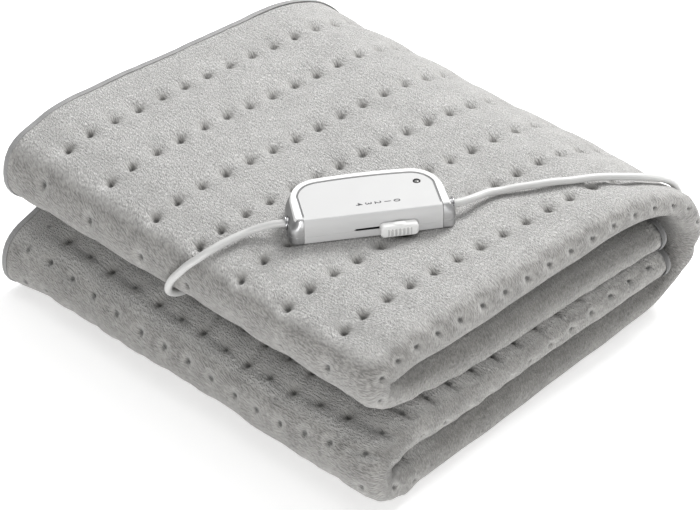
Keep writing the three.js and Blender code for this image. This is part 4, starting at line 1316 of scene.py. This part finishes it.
def strap_band(centre):
    """The closed strap round the coil's turns, which run along +X there, with rounded edges."""
    half_depth = 1.5 * LEAD + STRAP_CLEAR
    half_height = LEAD + STRAP_CLEAR
    half = STRAP_WIDTH / 2
    edge = STRAP_THICK * 0.35
    under = [(-half, edge), (-half + edge, 0), (half - edge, 0), (half, edge)]
    profile = under + [(along, STRAP_THICK - out) for along, out in reversed(under)]
    points = []
    for side_y, side_z, start in ((1, 1, 0), (-1, 1, 90), (-1, -1, 180), (1, -1, 270)):
        middle = np.array([side_y * (half_depth - STRAP_CORNER), side_z * (half_height - STRAP_CORNER)])
        for angle in np.radians(np.linspace(start, start + 90, 7)):
            normal = np.array([math.cos(angle), math.sin(angle)])
            for along, out in profile:
                y, z = middle + normal * (STRAP_CORNER + out)
                points.append((centre[0] + along, centre[1] + y, centre[2] + z))
    size = len(profile)
    rings = len(points) // size
    faces = ring_faces(rings, size) + closing_faces(rings, size)
    return face_outwards(new_piece("strap", points, faces))


def coil_tie():
    middle = COIL_FLOOR + LEAD
    centre = (COIL_CENTRE[0], COIL_CENTRE[1] + COIL_ACROSS / 2, middle)
    foot = middle + LEAD + HEAD_FOOT
    head = []
    for height, grow in HEAD_ROWS:
        ring = block_ring((0, 0, 0), HEAD_HALF[0] + grow, HEAD_HALF[1] + grow, 4.0, 32)
        head.append([(centre[0] + x, centre[1] + y, foot + height) for x, _, y in ring])
    return joined("coil_strap", [strap_band(centre), loft("head", head)])


PLUG_AXIS, PLUG_FROM, PLUG_LONG, PLUG_THICK = 0.186, 0.040, 0.036, 0.0137
PLUG_SWELL = 0.013  # the plug reaches its full width over this much
PLUG_NARROW, PLUG_WIDER = 0.0065, 0.0065  # half its width at the lead, and what it gains
PLUG_EASE = 0.0018  # rounding of its ends
GRIP_FROM, GRIP_TO, GRIP_PITCH, GRIP_DEPTH = 0.014, 0.029, 0.003, 0.0005  # grooves in its sides
SLEEVE_LONG, SLEEVE_THIN, SLEEVE_THICKER = 0.032, 0.0035, 0.0017  # length, radius, and what it gains
GROOVES, GROOVE_FROM, GROOVE_PITCH, GROOVE_DEPTH = 6, 0.004, 0.0042, 0.0008
GROOVE_STEPS = [(0, 0), (0.0003, GROOVE_DEPTH), (0.0015, GROOVE_DEPTH), (0.0018, 0)]
PIN_APART, PIN_ACROSS, PIN_LONG = 0.0186, 0.0040, 0.019
PIN_SLEEVE, PIN_STEP = 0.0095, 0.00012  # a pin is thicker by the step up to here


def plug_relief():
    """Tapered sleeve on the lead behind the plug, ringed with grooves."""
    profile = [(0.0, 0.0), (0.0031, 0.0), (SLEEVE_THIN, 0.0006)]
    for k in range(GROOVES):
        for step, depth in GROOVE_STEPS:
            along = GROOVE_FROM + k * GROOVE_PITCH + step
            profile.append((SLEEVE_THIN + SLEEVE_THICKER * along / SLEEVE_LONG - depth, along))
    thick = SLEEVE_THIN + SLEEVE_THICKER
    profile += [(thick, SLEEVE_LONG - 0.0003), (thick, SLEEVE_LONG), (0.0, SLEEVE_LONG)]
    relief = turned("plug_sleeve", profile, 40)
    relief.data.set_sharp_from_angle(angle=math.radians(50))
    return moved(relief, Matrix.Translation((PLUG_AXIS, PLUG_FROM - SLEEVE_LONG, PLUG_THICK / 2)))


def plug_body():
    """Flat two-pin plug, narrow at the lead, with grips at its sides and rounded ends."""
    rings = []
    for share in np.linspace(0, 1, 49):
        along = share * PLUG_LONG
        narrow = 1 - min(along / PLUG_SWELL, 1)
        half_width = PLUG_NARROW + PLUG_WIDER * (1 - narrow**2)
        half_height = PLUG_THICK / 2 - 0.0009 * narrow
        grip = 0.0
        if GRIP_FROM < along < GRIP_TO:
            grip = GRIP_DEPTH * max(math.sin(TAU * (along - GRIP_FROM) / GRIP_PITCH), 0)
        from_end = min(along, PLUG_LONG - along)
        short = 1 - min(from_end / PLUG_EASE, 1)
        ease = PLUG_EASE * (1 - math.sqrt(max(1 - short**2, 0)))
        centre = (PLUG_AXIS, PLUG_FROM + 0.0003 + along, PLUG_THICK / 2)
        rings.append(block_ring(centre, half_width - ease - grip, half_height - ease, 4.5, 56))
    return loft("plug_shell", rings)


def plug_pin(name, side):
    """A pin with a sleeve at its foot and a rounded tip."""
    sleeve = PIN_ACROSS / 2
    bare = sleeve - PIN_STEP
    tip_from = PIN_LONG - sleeve * 0.8
    profile = [(0.0, 0.0), (sleeve, 0.0), (sleeve, PIN_SLEEVE)]
    profile += [(bare, PIN_SLEEVE + 0.0002), (bare, tip_from)]
    for t in np.linspace(0.2, 1.4, 7):
        profile.append((bare * math.cos(t), PIN_LONG - sleeve * 0.8 * (1 - math.sin(t))))
    pin = turned(name, [*profile, (0.0, PIN_LONG)], 32)
    pin.data.set_sharp_from_angle(angle=math.radians(40))
    base = PLUG_FROM + PLUG_LONG + 0.0006
    return moved(pin, Matrix.Translation((PLUG_AXIS + side * PIN_APART / 2, base, PLUG_THICK / 2)))


entry = lead_entry()
tie = coil_tie()
relief = plug_relief()
plug = plug_body()
pins = [plug_pin("plug_pin_shaft_left", -1), plug_pin("plug_pin_shaft_right", 1)]

# ---- finishes -------------------------------------------------------------------------------


def put(tree, kind, inputs=None, **settings):
    """Adds a node: inputs by name or number, each a value or the socket that feeds it."""
    node = tree.nodes.new(kind)
    for key, value in settings.items():
        setattr(node, key, value)
    for key, value in (inputs or {}).items():
        if isinstance(value, bpy.types.NodeSocket):
            tree.links.new(value, node.inputs[key])
        else:
            node.inputs[key].default_value = value
    return node


def math_node(tree, operation, *values, clamp=False):
    node = put(tree, "ShaderNodeMath", dict(enumerate(values)), operation=operation, use_clamp=clamp)
    return node.outputs[0]


def times(tree, *values):
    return reduce(lambda a, b: math_node(tree, "MULTIPLY", a, b), values)


def plus(tree, *values):
    return reduce(lambda a, b: math_node(tree, "ADD", a, b), values)


def minus(tree, a, b):
    return math_node(tree, "SUBTRACT", a, b)


def vector_math(tree, operation, a, b, output="Vector"):
    return put(tree, "ShaderNodeVectorMath", {0: a, 1: b}, operation=operation).outputs[output]


def mix_colour(tree, factor, a, b, blend="MIX"):
    node = put(tree, "ShaderNodeMix", {0: factor, 6: a, 7: b}, data_type="RGBA", blend_type=blend)
    return node.outputs[2]


def mix_value(tree, factor, a, b):
    return put(tree, "ShaderNodeMix", {0: factor, 2: a, 3: b}, data_type="FLOAT").outputs[0]


def ramp(tree, value, low, high, to_low=0.0, to_high=1.0, smooth=True):
    kind = "SMOOTHSTEP" if smooth else "LINEAR"
    inputs = {"Value": value, "From Min": low, "From Max": high, "To Min": to_low, "To Max": to_high}
    return put(tree, "ShaderNodeMapRange", inputs, interpolation_type=kind).outputs[0]


def noise(tree, vector, scale, detail, roughness=0.5):
    inputs = {"Vector": vector, "Scale": scale, "Detail": detail, "Roughness": roughness}
    return put(tree, "ShaderNodeTexNoise", inputs).outputs[0]


def stretched(tree, vector, width, length):
    """A flat place counted in widths and lengths."""
    scale = (1 / width, 1 / length, 1)
    return put(tree, "ShaderNodeMapping", {"Vector": vector, "Scale": scale}).outputs[0]


def turned_place(tree, vector, turn):
    return put(tree, "ShaderNodeMapping", {"Vector": vector, "Rotation": (0, 0, turn)}).outputs[0]


def split(tree, vector):
    return put(tree, "ShaderNodeSeparateXYZ", {0: vector}).outputs


def flat_place(tree, name):
    """The flat coordinates of a piece."""
    return put(tree, "ShaderNodeUVMap", uv_map=name).outputs[0]


def own_value(tree, name):
    """The value that a piece's vertices carry."""
    return put(tree, "ShaderNodeAttribute", attribute_name=name).outputs["Fac"]


def facing(tree):
    return put(tree, "ShaderNodeNewGeometry").outputs["Normal"]


def on_object(tree):
    return put(tree, "ShaderNodeTexCoord").outputs["Object"]


def use(tree, group, inputs):
    return put(tree, "ShaderNodeGroup", inputs, node_tree=group).outputs


def tinted(colour, share=1.0):
    """A colour made darker or lighter by a share, with its alpha."""
    return (*(c * share for c in colour), 1)


def raise_surface(tree, shader, height, distance, strength):
    bump = put(tree, "ShaderNodeBump", {"Height": height, "Distance": distance, "Strength": strength})
    tree.links.new(bump.outputs[0], shader.inputs["Normal"])


def new_group(name, inputs, outputs):
    """A node group with named sockets: inputs by name and default value, and names of masks."""
    tree = bpy.data.node_groups.new(name, "ShaderNodeTree")
    for label, default in inputs.items():
        kind = "NodeSocketVector" if isinstance(default, tuple) else "NodeSocketFloat"
        socket = tree.interface.new_socket(name=label, in_out="INPUT", socket_type=kind)
        socket.default_value = default
    for label in outputs:
        tree.interface.new_socket(name=label, in_out="OUTPUT", socket_type="NodeSocketFloat")
    return tree, tree.nodes.new("NodeGroupInput").outputs, tree.nodes.new("NodeGroupOutput").inputs


def uneven_tone_group():
    """Cloudy unevenness over a surface: a mask about one half, from large and small patches."""
    inputs = {"Place": (0.0, 0.0, 0.0), "Patch": 0.03, "Contrast": 1.0}
    tree, given, result = new_group("uneven_tone", inputs, ["Mask"])
    scale = math_node(tree, "DIVIDE", 1.0, given["Patch"])
    off = minus(tree, noise(tree, given["Place"], scale, 3.0, 0.55), 0.5)
    mask = math_node(tree, "ADD", times(tree, off, given["Contrast"]), 0.5, clamp=True)
    tree.links.new(mask, result["Mask"])
    return tree


def moulded_grain_group():
    """The fine grain of moulded plastic, with the odd rubbed place: bump height and gloss."""
    inputs = {"Place": (0.0, 0.0, 0.0), "Grain": 0.0004, "Rubbed": 0.5}
    tree, given, result = new_group("moulded_grain", inputs, ["Height", "Gloss"])
    scale = math_node(tree, "DIVIDE", 1.0, given["Grain"])
    fine = noise(tree, given["Place"], scale, 2.0)
    wide = noise(tree, given["Place"], 60.0, 4.0)
    rubbed = times(tree, ramp(tree, wide, 0.45, 0.7), given["Rubbed"])
    tree.links.new(times(tree, fine, minus(tree, 1.0, rubbed)), result["Height"])
    tree.links.new(rubbed, result["Gloss"])
    return tree


def brushed_lines_group():
    """Fine parallel lines of brushed metal along X of the given place: height and tone."""
    inputs = {"Place": (0.0, 0.0, 0.0), "Fineness": 0.0002}
    tree, given, result = new_group("brushed_lines", inputs, ["Height", "Tone"])
    across = math_node(tree, "DIVIDE", 1.0, given["Fineness"])
    along = times(tree, across, 0.02)
    stretch = put(tree, "ShaderNodeCombineXYZ", {0: along, 1: across, 2: across}).outputs[0]
    lines = noise(tree, vector_math(tree, "MULTIPLY", given["Place"], stretch), 1.0, 3.0, 0.6)
    tree.links.new(lines, result["Height"])
    tree.links.new(ramp(tree, lines, 0.25, 0.75, smooth=False), result["Tone"])
    return tree


UNEVEN_TONE = uneven_tone_group()
MOULDED_GRAIN = moulded_grain_group()
BRUSHED_LINES = brushed_lines_group()


def new_finish(name, colour, **settings):
    """A material with its own shader: colour, and the shader's constant settings by name."""
    material = bpy.data.materials.new(name)
    material.use_nodes = True
    tree = material.node_tree
    shader = tree.nodes["Principled BSDF"]
    shader.inputs["Base Color"].default_value = tinted(colour)
    material.diffuse_color = tinted(colour)
    for label, value in settings.items():
        shader.inputs[label.replace("_", " ")].default_value = value
    return material, tree, shader


def moulded_finish(name, colour, roughness, grain, bump, rubbed=0.5, tone=0.06, **settings):
    """Moulded plastic: a faintly uneven colour, fine grain, and slightly glossier rubbed places."""
    material, tree, shader = new_finish(name, colour, **settings)
    place = on_object(tree)
    cloud = use(tree, UNEVEN_TONE, {"Place": place, "Patch": 0.018, "Contrast": 1.4})
    shade = mix_colour(tree, cloud["Mask"], tinted(colour), tinted(colour, 1 - tone))
    tree.links.new(shade, shader.inputs["Base Color"])
    surface = use(tree, MOULDED_GRAIN, {"Place": place, "Grain": grain, "Rubbed": rubbed})
    gloss = ramp(tree, surface["Gloss"], 0.0, 1.0, roughness, roughness * 0.7, smooth=False)
    tree.links.new(gloss, shader.inputs["Roughness"])
    raise_surface(tree, shader, surface["Height"], bump, 0.5)
    return material


def brushed_finish(name, colour, roughness, turn=0.0, spread=0.25, end_shade=0.0, **settings):
    """Brushed metal, its lines along X after the given turn about +Z, and with painted shade, as strong as
    asked, where it faces along them."""
    material, tree, shader = new_finish(name, colour, Metallic=1.0, **settings)
    place = turned_place(tree, on_object(tree), turn)
    lines = use(tree, BRUSHED_LINES, {"Place": place, "Fineness": 0.00022})
    shade = mix_colour(tree, lines["Tone"], tinted(colour, 1 - spread), tinted(colour))
    # Painted shade where the metal faces along its lines, as on the caps' end walls.
    if end_shade:
        line = (math.cos(turn), -math.sin(turn), 0)
        along = math_node(tree, "ABSOLUTE", vector_math(tree, "DOT_PRODUCT", facing(tree), line, "Value"))
        shade = mix_colour(tree, ramp(tree, along, 0.35, 0.85, 0.0, end_shade), shade, tinted(colour, 0.3))
    tree.links.new(shade, shader.inputs["Base Color"])
    rough = ramp(tree, lines["Tone"], 0.0, 1.0, roughness * 1.2, roughness * 0.85, smooth=False)
    tree.links.new(rough, shader.inputs["Roughness"])
    raise_surface(tree, shader, lines["Height"], 0.00003, 0.6)
    return material


FLEECE_COLOUR = (0.490, 0.484, 0.474)
FLEECE_DARK, FLEECE_LIGHT = 0.46, 1.60  # shares of that colour between the nap's strokes and on them
# The next two colours multiply the fleece's colour as painted shade: on its sides over the rolls, and on a
# roll that lies under another.
FLEECE_SIDE_SHADE = (0.57, 0.562, 0.548, 1)  # times the colour, where the nap lies over the rolls
FLEECE_UNDER_ROLL_SHADE = (0.60, 0.60, 0.59, 1)  # and where a roll lies tucked under another
# Colours of a pit's painted shade, in its halo and its core, and of the painted highlight round it.
PIT_HALO_SHADE, PIT_CORE_SHADE, PIT_PILLOW_HIGHLIGHT = (0.24, 0.24, 0.23, 1), (0.10, 0.10, 0.096, 1), (0.62, 0.61, 0.59, 1)
# Painted shade and highlight round a pit, by distance from its middle: a wide halo of painted shade, a
# painted highlight on the ring where a sideways roll pillows between its pits, and a dark core of painted
# shade, smaller on the rolls than on level fleece.
HALO_FADES, HALO_SHARE = (0.0020, 0.0090), 0.12
PILLOW_RISES, PILLOW_FADES, PILLOW_HIGHLIGHT_SHARE = (0.0026, 0.0050), (0.0050, 0.0100), 0.22
ROLL_CORE_FADES, LEVEL_CORE_FADES = (0.0018, 0.0036), (0.0014, 0.0037)
ROLL_CORE_SHARE, LEVEL_CORE_SHARE = 0.90, 0.68
NAP_TURN = math.atan2(-0.44, 0.90)  # the nap leans along the pad's depth and a little along it
NAP_HEIGHT = 0.0014
# Strokes of the nap: width and length, turn from the nap's lean, detail, and the darkest and lightest
# of the noise that they are made of.
SHORT_STROKES = (0.00068, 0.0024, 0.0, 1.0, 0.37, 0.63)
LONG_STROKES = (0.00090, 0.0038, 0.25, 1.0, 0.36, 0.64)
TUFTS = (0.0019, 0.0056, 0.4, 1.5, 0.3, 0.7)


def nap_strokes(tree, width, length, turn, detail, darkest, lightest, smooth=False):
    """Light and dark strokes of the nap, 0 to 1."""
    laid = turned_place(tree, flat_place(tree, "cloth"), NAP_TURN + turn)
    combed = noise(tree, stretched(tree, laid, width, length), 1.0, detail, 0.6)
    return ramp(tree, combed, darkest, lightest, smooth=smooth)


def pit_distance(tree):
    """Distance from the nearest pit over the fleece, a little uneven as the nap is."""
    column, line, _ = split(tree, flat_place(tree, "pits"))
    aside = times(tree, math_node(tree, "PINGPONG", column, 0.5), PIT_PITCH)
    on_line = times(tree, math_node(tree, "PINGPONG", line, 0.5), own_value(tree, "line_gap"))
    squares = [math_node(tree, "POWER", reach, 2.0) for reach in (aside, on_line)]
    wander = times(tree, noise(tree, on_object(tree), 700.0, 1.0), 0.0014)
    return plus(tree, math_node(tree, "SQRT", plus(tree, *squares)), wander)


def fleece_finish():
    """Brushed nap in pale strokes over darker ones, with painted shade in the pits, on the sides and under
    the rolls, and a painted highlight round the pits on the rolls.
    """
    material, tree, shader = new_finish(
        "quilted_fleece",
        FLEECE_COLOUR,
        Roughness=0.95,
        Specular_IOR_Level=0.15,
        Sheen_Weight=0.35,
        Sheen_Roughness=0.6,
    )
    # 0 where the fleece faces sideways, 1 where it lies level.
    level = ramp(tree, split(tree, facing(tree))[2], 0.62, 0.995, smooth=False)

    def by_level(on_side, on_top, smooth=False):
        return ramp(tree, level, 0.0, 1.0, on_side, on_top, smooth=smooth)

    fine = mix_value(tree, level, nap_strokes(tree, *LONG_STROKES), nap_strokes(tree, *SHORT_STROKES))
    tufts = nap_strokes(tree, *TUFTS, smooth=True)
    clouds = use(tree, UNEVEN_TONE, {"Place": on_object(tree), "Patch": 0.016, "Contrast": 2.6})["Mask"]
    brushed = times(tree, minus(tree, clouds, 0.5), by_level(0.25, 0.13))
    tone = plus(tree, times(tree, fine, by_level(0.40, 0.50)), times(tree, tufts, 0.09), brushed)
    tone = math_node(tree, "ADD", tone, by_level(0.225, 0.195, smooth=True), clamp=True)
    shade = mix_colour(tree, tone, tinted(FLEECE_COLOUR, FLEECE_DARK), tinted(FLEECE_COLOUR, FLEECE_LIGHT))
    # Painted shade on the sides, where the fleece faces sideways.
    sideways = by_level(1.0, 0.0)
    shade = mix_colour(tree, sideways, shade, FLEECE_SIDE_SHADE, "MULTIPLY")
    # Painted shade on the rolled edges that lie under the roll above them.
    under_roll_shade = own_value(tree, "under_roll_shade")
    shade = mix_colour(tree, under_roll_shade, shade, FLEECE_UNDER_ROLL_SHADE, "MULTIPLY")

    # Painted shade in the pits, and a painted highlight on the ring round them on the rolls.
    distance = pit_distance(tree)
    halo = times(tree, ramp(tree, distance, *HALO_FADES, 1.0, 0.0), HALO_SHARE)
    shade = mix_colour(tree, halo, shade, PIT_HALO_SHADE)
    rising = ramp(tree, distance, *PILLOW_RISES, 0.0, 1.0)
    falling = ramp(tree, distance, *PILLOW_FADES, 1.0, 0.0)
    shade = mix_colour(tree, times(tree, rising, falling, sideways, PILLOW_HIGHLIGHT_SHARE), shade, PIT_PILLOW_HIGHLIGHT)
    on_roll = ramp(tree, distance, *ROLL_CORE_FADES, 1.0, 0.0)
    on_level = ramp(tree, distance, *LEVEL_CORE_FADES, 1.0, 0.0)
    core = mix_value(tree, level, on_roll, on_level)
    core = times(tree, core, by_level(ROLL_CORE_SHARE, LEVEL_CORE_SHARE))
    # The pits' painted shade is weaker where the painted shade under a roll already falls.
    core = times(tree, core, ramp(tree, under_roll_shade, 0.0, 0.8, 1.0, 0.6, smooth=False))
    shade = mix_colour(tree, core, shade, PIT_CORE_SHADE)
    tree.links.new(shade, shader.inputs["Base Color"])

    height = times(tree, plus(tree, times(tree, fine, 0.5), times(tree, tufts, 0.5)), by_level(0.80, 1.0))
    raise_surface(tree, shader, height, NAP_HEIGHT, 1.0)
    return material


SATIN_RIB = (0.0005, 0.006)  # width and length of its cross ribs
SATIN_CREASE = (0.009, 0.02)  # and of its soft creases
SEAM_PLACE = 0.0022  # middle of the seam, on the way across the tape
STITCH_PITCH = 0.0026


def satin_finish(name, tone):
    """Satin tape: fine cross ribs, a row of stitches near one edge, and soft creases."""
    grey = (tone, tone, tone)
    material, tree, shader = new_finish(name, grey, Specular_IOR_Level=0.3, Sheen_Weight=0.1)
    cloth = flat_place(tree, "cloth")
    run, across, _ = split(tree, cloth)
    rib = noise(tree, stretched(tree, cloth, *SATIN_RIB), 1.0, 1.0)
    crease = noise(tree, stretched(tree, cloth, *SATIN_CREASE), 1.0, 2.0)
    from_seam = math_node(tree, "ABSOLUTE", minus(tree, across, SEAM_PLACE))
    share = math_node(tree, "FRACT", math_node(tree, "DIVIDE", run, STITCH_PITCH))
    from_middle = math_node(tree, "ABSOLUTE", minus(tree, share, 0.5))
    on_seam = ramp(tree, from_seam, 0.0003, 0.0006, 1.0, 0.0)
    stitch = times(tree, on_seam, ramp(tree, from_middle, 0.34, 0.42, 1.0, 0.0))
    # Painted light and shade on the ribs and soft creases, from the same noise that raises them.
    lit = plus(tree, times(tree, rib, 0.5), times(tree, crease, 0.5))
    shade = mix_colour(tree, ramp(tree, lit, 0.3, 0.7), tinted(grey, 0.88), tinted(grey, 1.14))
    thread = (tone * 1.6, tone * 1.6, tone * 1.56, 1)
    shade = mix_colour(tree, times(tree, stitch, 0.5), shade, thread)
    tree.links.new(shade, shader.inputs["Base Color"])
    tree.links.new(ramp(tree, rib, 0.2, 0.8, 0.42, 0.62), shader.inputs["Roughness"])
    height = plus(tree, times(tree, rib, 0.3), crease, times(tree, stitch, 0.5))
    raise_surface(tree, shader, height, 0.0006, 0.6)
    return material


def give(material, *pieces):
    for piece in pieces:
        piece.data.materials.clear()
        piece.data.materials.append(material)


SHELL_WHITE, SHELL_ROUGHNESS, SHELL_GRAIN, SHELL_BUMP = (0.84, 0.84, 0.83), 0.32, 0.00035, 0.00002
# How strong the painted shade in the knob's grooves is, and its colour.
GROOVE_SHADE, GROOVE_SHADE_COLOUR = 0.42, (0.20, 0.20, 0.20, 1)


def shell_finish(name):
    return moulded_finish(name, SHELL_WHITE, SHELL_ROUGHNESS, SHELL_GRAIN, SHELL_BUMP, tone=0.03)


def knob_finish():
    """The shell's plastic, with painted shade in the grooves between the knob's ribs."""
    material = shell_finish("ribbed_knob_white")
    tree = material.node_tree
    shader = tree.nodes["Principled BSDF"]
    middle = tuple(CASE_PLACE @ Vector((KNOB_CENTRE, 0, 0)))
    place = vector_math(tree, "SUBTRACT", on_object(tree), middle)
    along_case = (math.cos(CASE_TURN), -math.sin(CASE_TURN), 0)
    forwards = (-math.sin(CASE_TURN), -math.cos(CASE_TURN), 0)
    aside = math_node(tree, "ABSOLUTE", vector_math(tree, "DOT_PRODUCT", place, along_case, "Value"))
    out = vector_math(tree, "DOT_PRODUCT", place, forwards, "Value")
    height = split(tree, place)[2]
    half = RIBS / 2 * RIB_PITCH * MM
    front = (GAP + KNOB_REACH) * MM
    low = (KNOB_BASE + RIB_FROM) * MM
    high = low + RIB_LONG * MM
    shade = times(
        tree,
        ramp(tree, math_node(tree, "PINGPONG", aside, RIB_PITCH / 2 * MM), 0.00035, 0.00085, 1.0, 0.0),
        ramp(tree, aside, half - 0.0001, half + 0.0005, 1.0, 0.0),
        ramp(tree, out, front - 0.0006, front - 0.0002),
        ramp(tree, out, front + 0.0007, front + 0.0014, 1.0, 0.0),
        ramp(tree, height, low - 0.0006, low),
        ramp(tree, height, high, high + 0.0006, 1.0, 0.0),
        GROOVE_SHADE,
    )
    colour = shader.inputs["Base Color"].links[0].from_socket
    tree.links.new(mix_colour(tree, shade, colour, GROOVE_SHADE_COLOUR), shader.inputs["Base Color"])
    return material


give(fleece_finish(), pad)
give(satin_finish("satin_hem_binding", 0.29), *bindings[:2])
# The tape round the free ends is the same satin, given a darker tone as painted shade.
give(satin_finish("satin_end_binding_painted_shade", 0.12), *bindings[2:])
give(shell_finish("white_shell"), rim)
give(knob_finish(), knob)
give(moulded_finish("plug_shell_pale", (0.50, 0.50, 0.492), 0.36, 0.0004, 0.00003, tone=0.04), tie, plug)
give(moulded_finish("face_shell", (0.60, 0.60, 0.598), 0.42, 0.00045, 0.00003, tone=0.03), face)
give(moulded_finish("slot_shadow_strip", (0.015, 0.015, 0.016), 0.5, 0.0004, 0.00002), slot_strip, collar)
give(moulded_finish("lamp_lens_clear", (0.20, 0.20, 0.195), 0.12, 0.0006, 0.00001, Coat_Weight=0.5), lens)
lead_sheath = moulded_finish("lead_sheath", (0.62, 0.62, 0.61), 0.36, 0.0006, 0.00004, tone=0.05)
give(lead_sheath, pad_lead, mains_lead, entry, relief)
give(moulded_finish("numeral_ink", (0.07, 0.07, 0.075), 0.6, 0.0002, 0.00001), numerals)
# The caps get painted shade on their end walls.
give(brushed_finish("brushed_cap_metal", (0.66, 0.66, 0.665), 0.36, CASE_TURN, end_shade=0.75), *caps)
give(brushed_finish("brushed_inlay_metal", (0.36, 0.36, 0.365), 0.34, CASE_TURN), inlay)
give(brushed_finish("exit_ring_metal", (0.62, 0.62, 0.63), 0.2, 0.0, 0.1), *exit_rings)
give(brushed_finish("plug_pin_metal", (0.72, 0.71, 0.68), 0.22, math.pi / 2, 0.12), *pins)

# ---- floor and light ------------------------------------------------------------------------


FLOOR_WIDE, FLOOR_GLOW, WORLD_GLOW = 8.0, 0.44, 0.36
# Soft lights: name, place, the place it aims at, its two sizes, and its power in watts.
SOFT_LIGHTS = [
    ("overhead", (0.5, 0.4, 2.3), (0, 0, 0.05), (3.0, 3.0), 25),
    ("key", (1.75, 0.1, 1.75), (0, 0, 0.05), (1.0, 1.0), 67),
    ("front", (-1.62, -1.5, 0.45), (-0.1, -0.1, 0.1), (0.7, 1.2), 21),
]


def add_floor():
    half = FLOOR_WIDE / 2
    corners = [(-half, -half, 0), (half, -half, 0), (half, half, 0), (-half, half, 0)]
    floor = new_piece("floor", corners, [(0, 1, 2, 3)])
    material = new_finish(
        "pale_floor",
        (0.92, 0.92, 0.92),
        Roughness=0.9,
        Specular_IOR_Level=0.1,
        Emission_Color=(1, 1, 1, 1),
        Emission_Strength=FLOOR_GLOW,
    )[0]
    give(material, floor)


def add_soft_light(name, place, aim, size, power):
    data = bpy.data.lights.new(name, "AREA")
    data.shape = "RECTANGLE"
    data.size, data.size_y = size
    data.energy = power
    light = add_object(name, data)
    light.location = place
    light.rotation_euler = (Vector(place) - Vector(aim)).to_track_quat("Z", "Y").to_euler()


def add_studio():
    add_floor()
    world = bpy.data.worlds.new("studio")
    world.use_nodes = True
    background = world.node_tree.nodes["Background"]
    background.inputs["Color"].default_value = (1, 1, 1, 1)
    background.inputs["Strength"].default_value = WORLD_GLOW
    bpy.context.scene.world = world
    for light in SOFT_LIGHTS:
        add_soft_light(*light)
    bpy.context.scene.view_settings.view_transform = "Standard"


add_studio()

# ---- what each piece is ---------------------------------------------------------------------

bundle = [pad, *bindings, rim, face, inlay, *caps, slot_strip, lens, collar, *exit_rings, numerals]
bundle += [entry, tie, relief, plug, *pins, pad_lead, mains_lead]
ride_on("bundle", *bundle)
ride_on("slider", knob)

# Each piece, and the nodes of the frame that it stands for.
STANDS_FOR = [
    (pad, "pad"),
    (bindings[0], "binding_long_upper"),
    (bindings[1], "binding_long_lower"),
    (bindings[2], "binding_end_upper"),
    (bindings[3], "binding_end_lower"),
    (rim, "controller_housing"),
    (face, "face_panel"),
    (inlay, "panel_inlay"),
    (caps[0], "end_cap_left"),
    (caps[1], "end_cap_right"),
    (slot_strip, "slot_track"),
    (lens, "indicator_lens"),
    (collar, "indicator_lens"),
    (exit_rings[0], "grommet_left"),
    (exit_rings[1], "grommet_right"),
    (knob, "slider_knob"),
    (pad_lead, "pad_lead"),
    (mains_lead, "mains_lead", "lead_coil", "lead_tail"),
    (entry, "lead_entry"),
    (tie, "coil_tie"),
    (relief, "plug_relief"),
    (plug, "plug_body"),
    (pins[0], "plug_pin_left"),
    (pins[1], "plug_pin_right"),
]
for piece, *nodes in STANDS_FOR:
    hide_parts(*nodes)
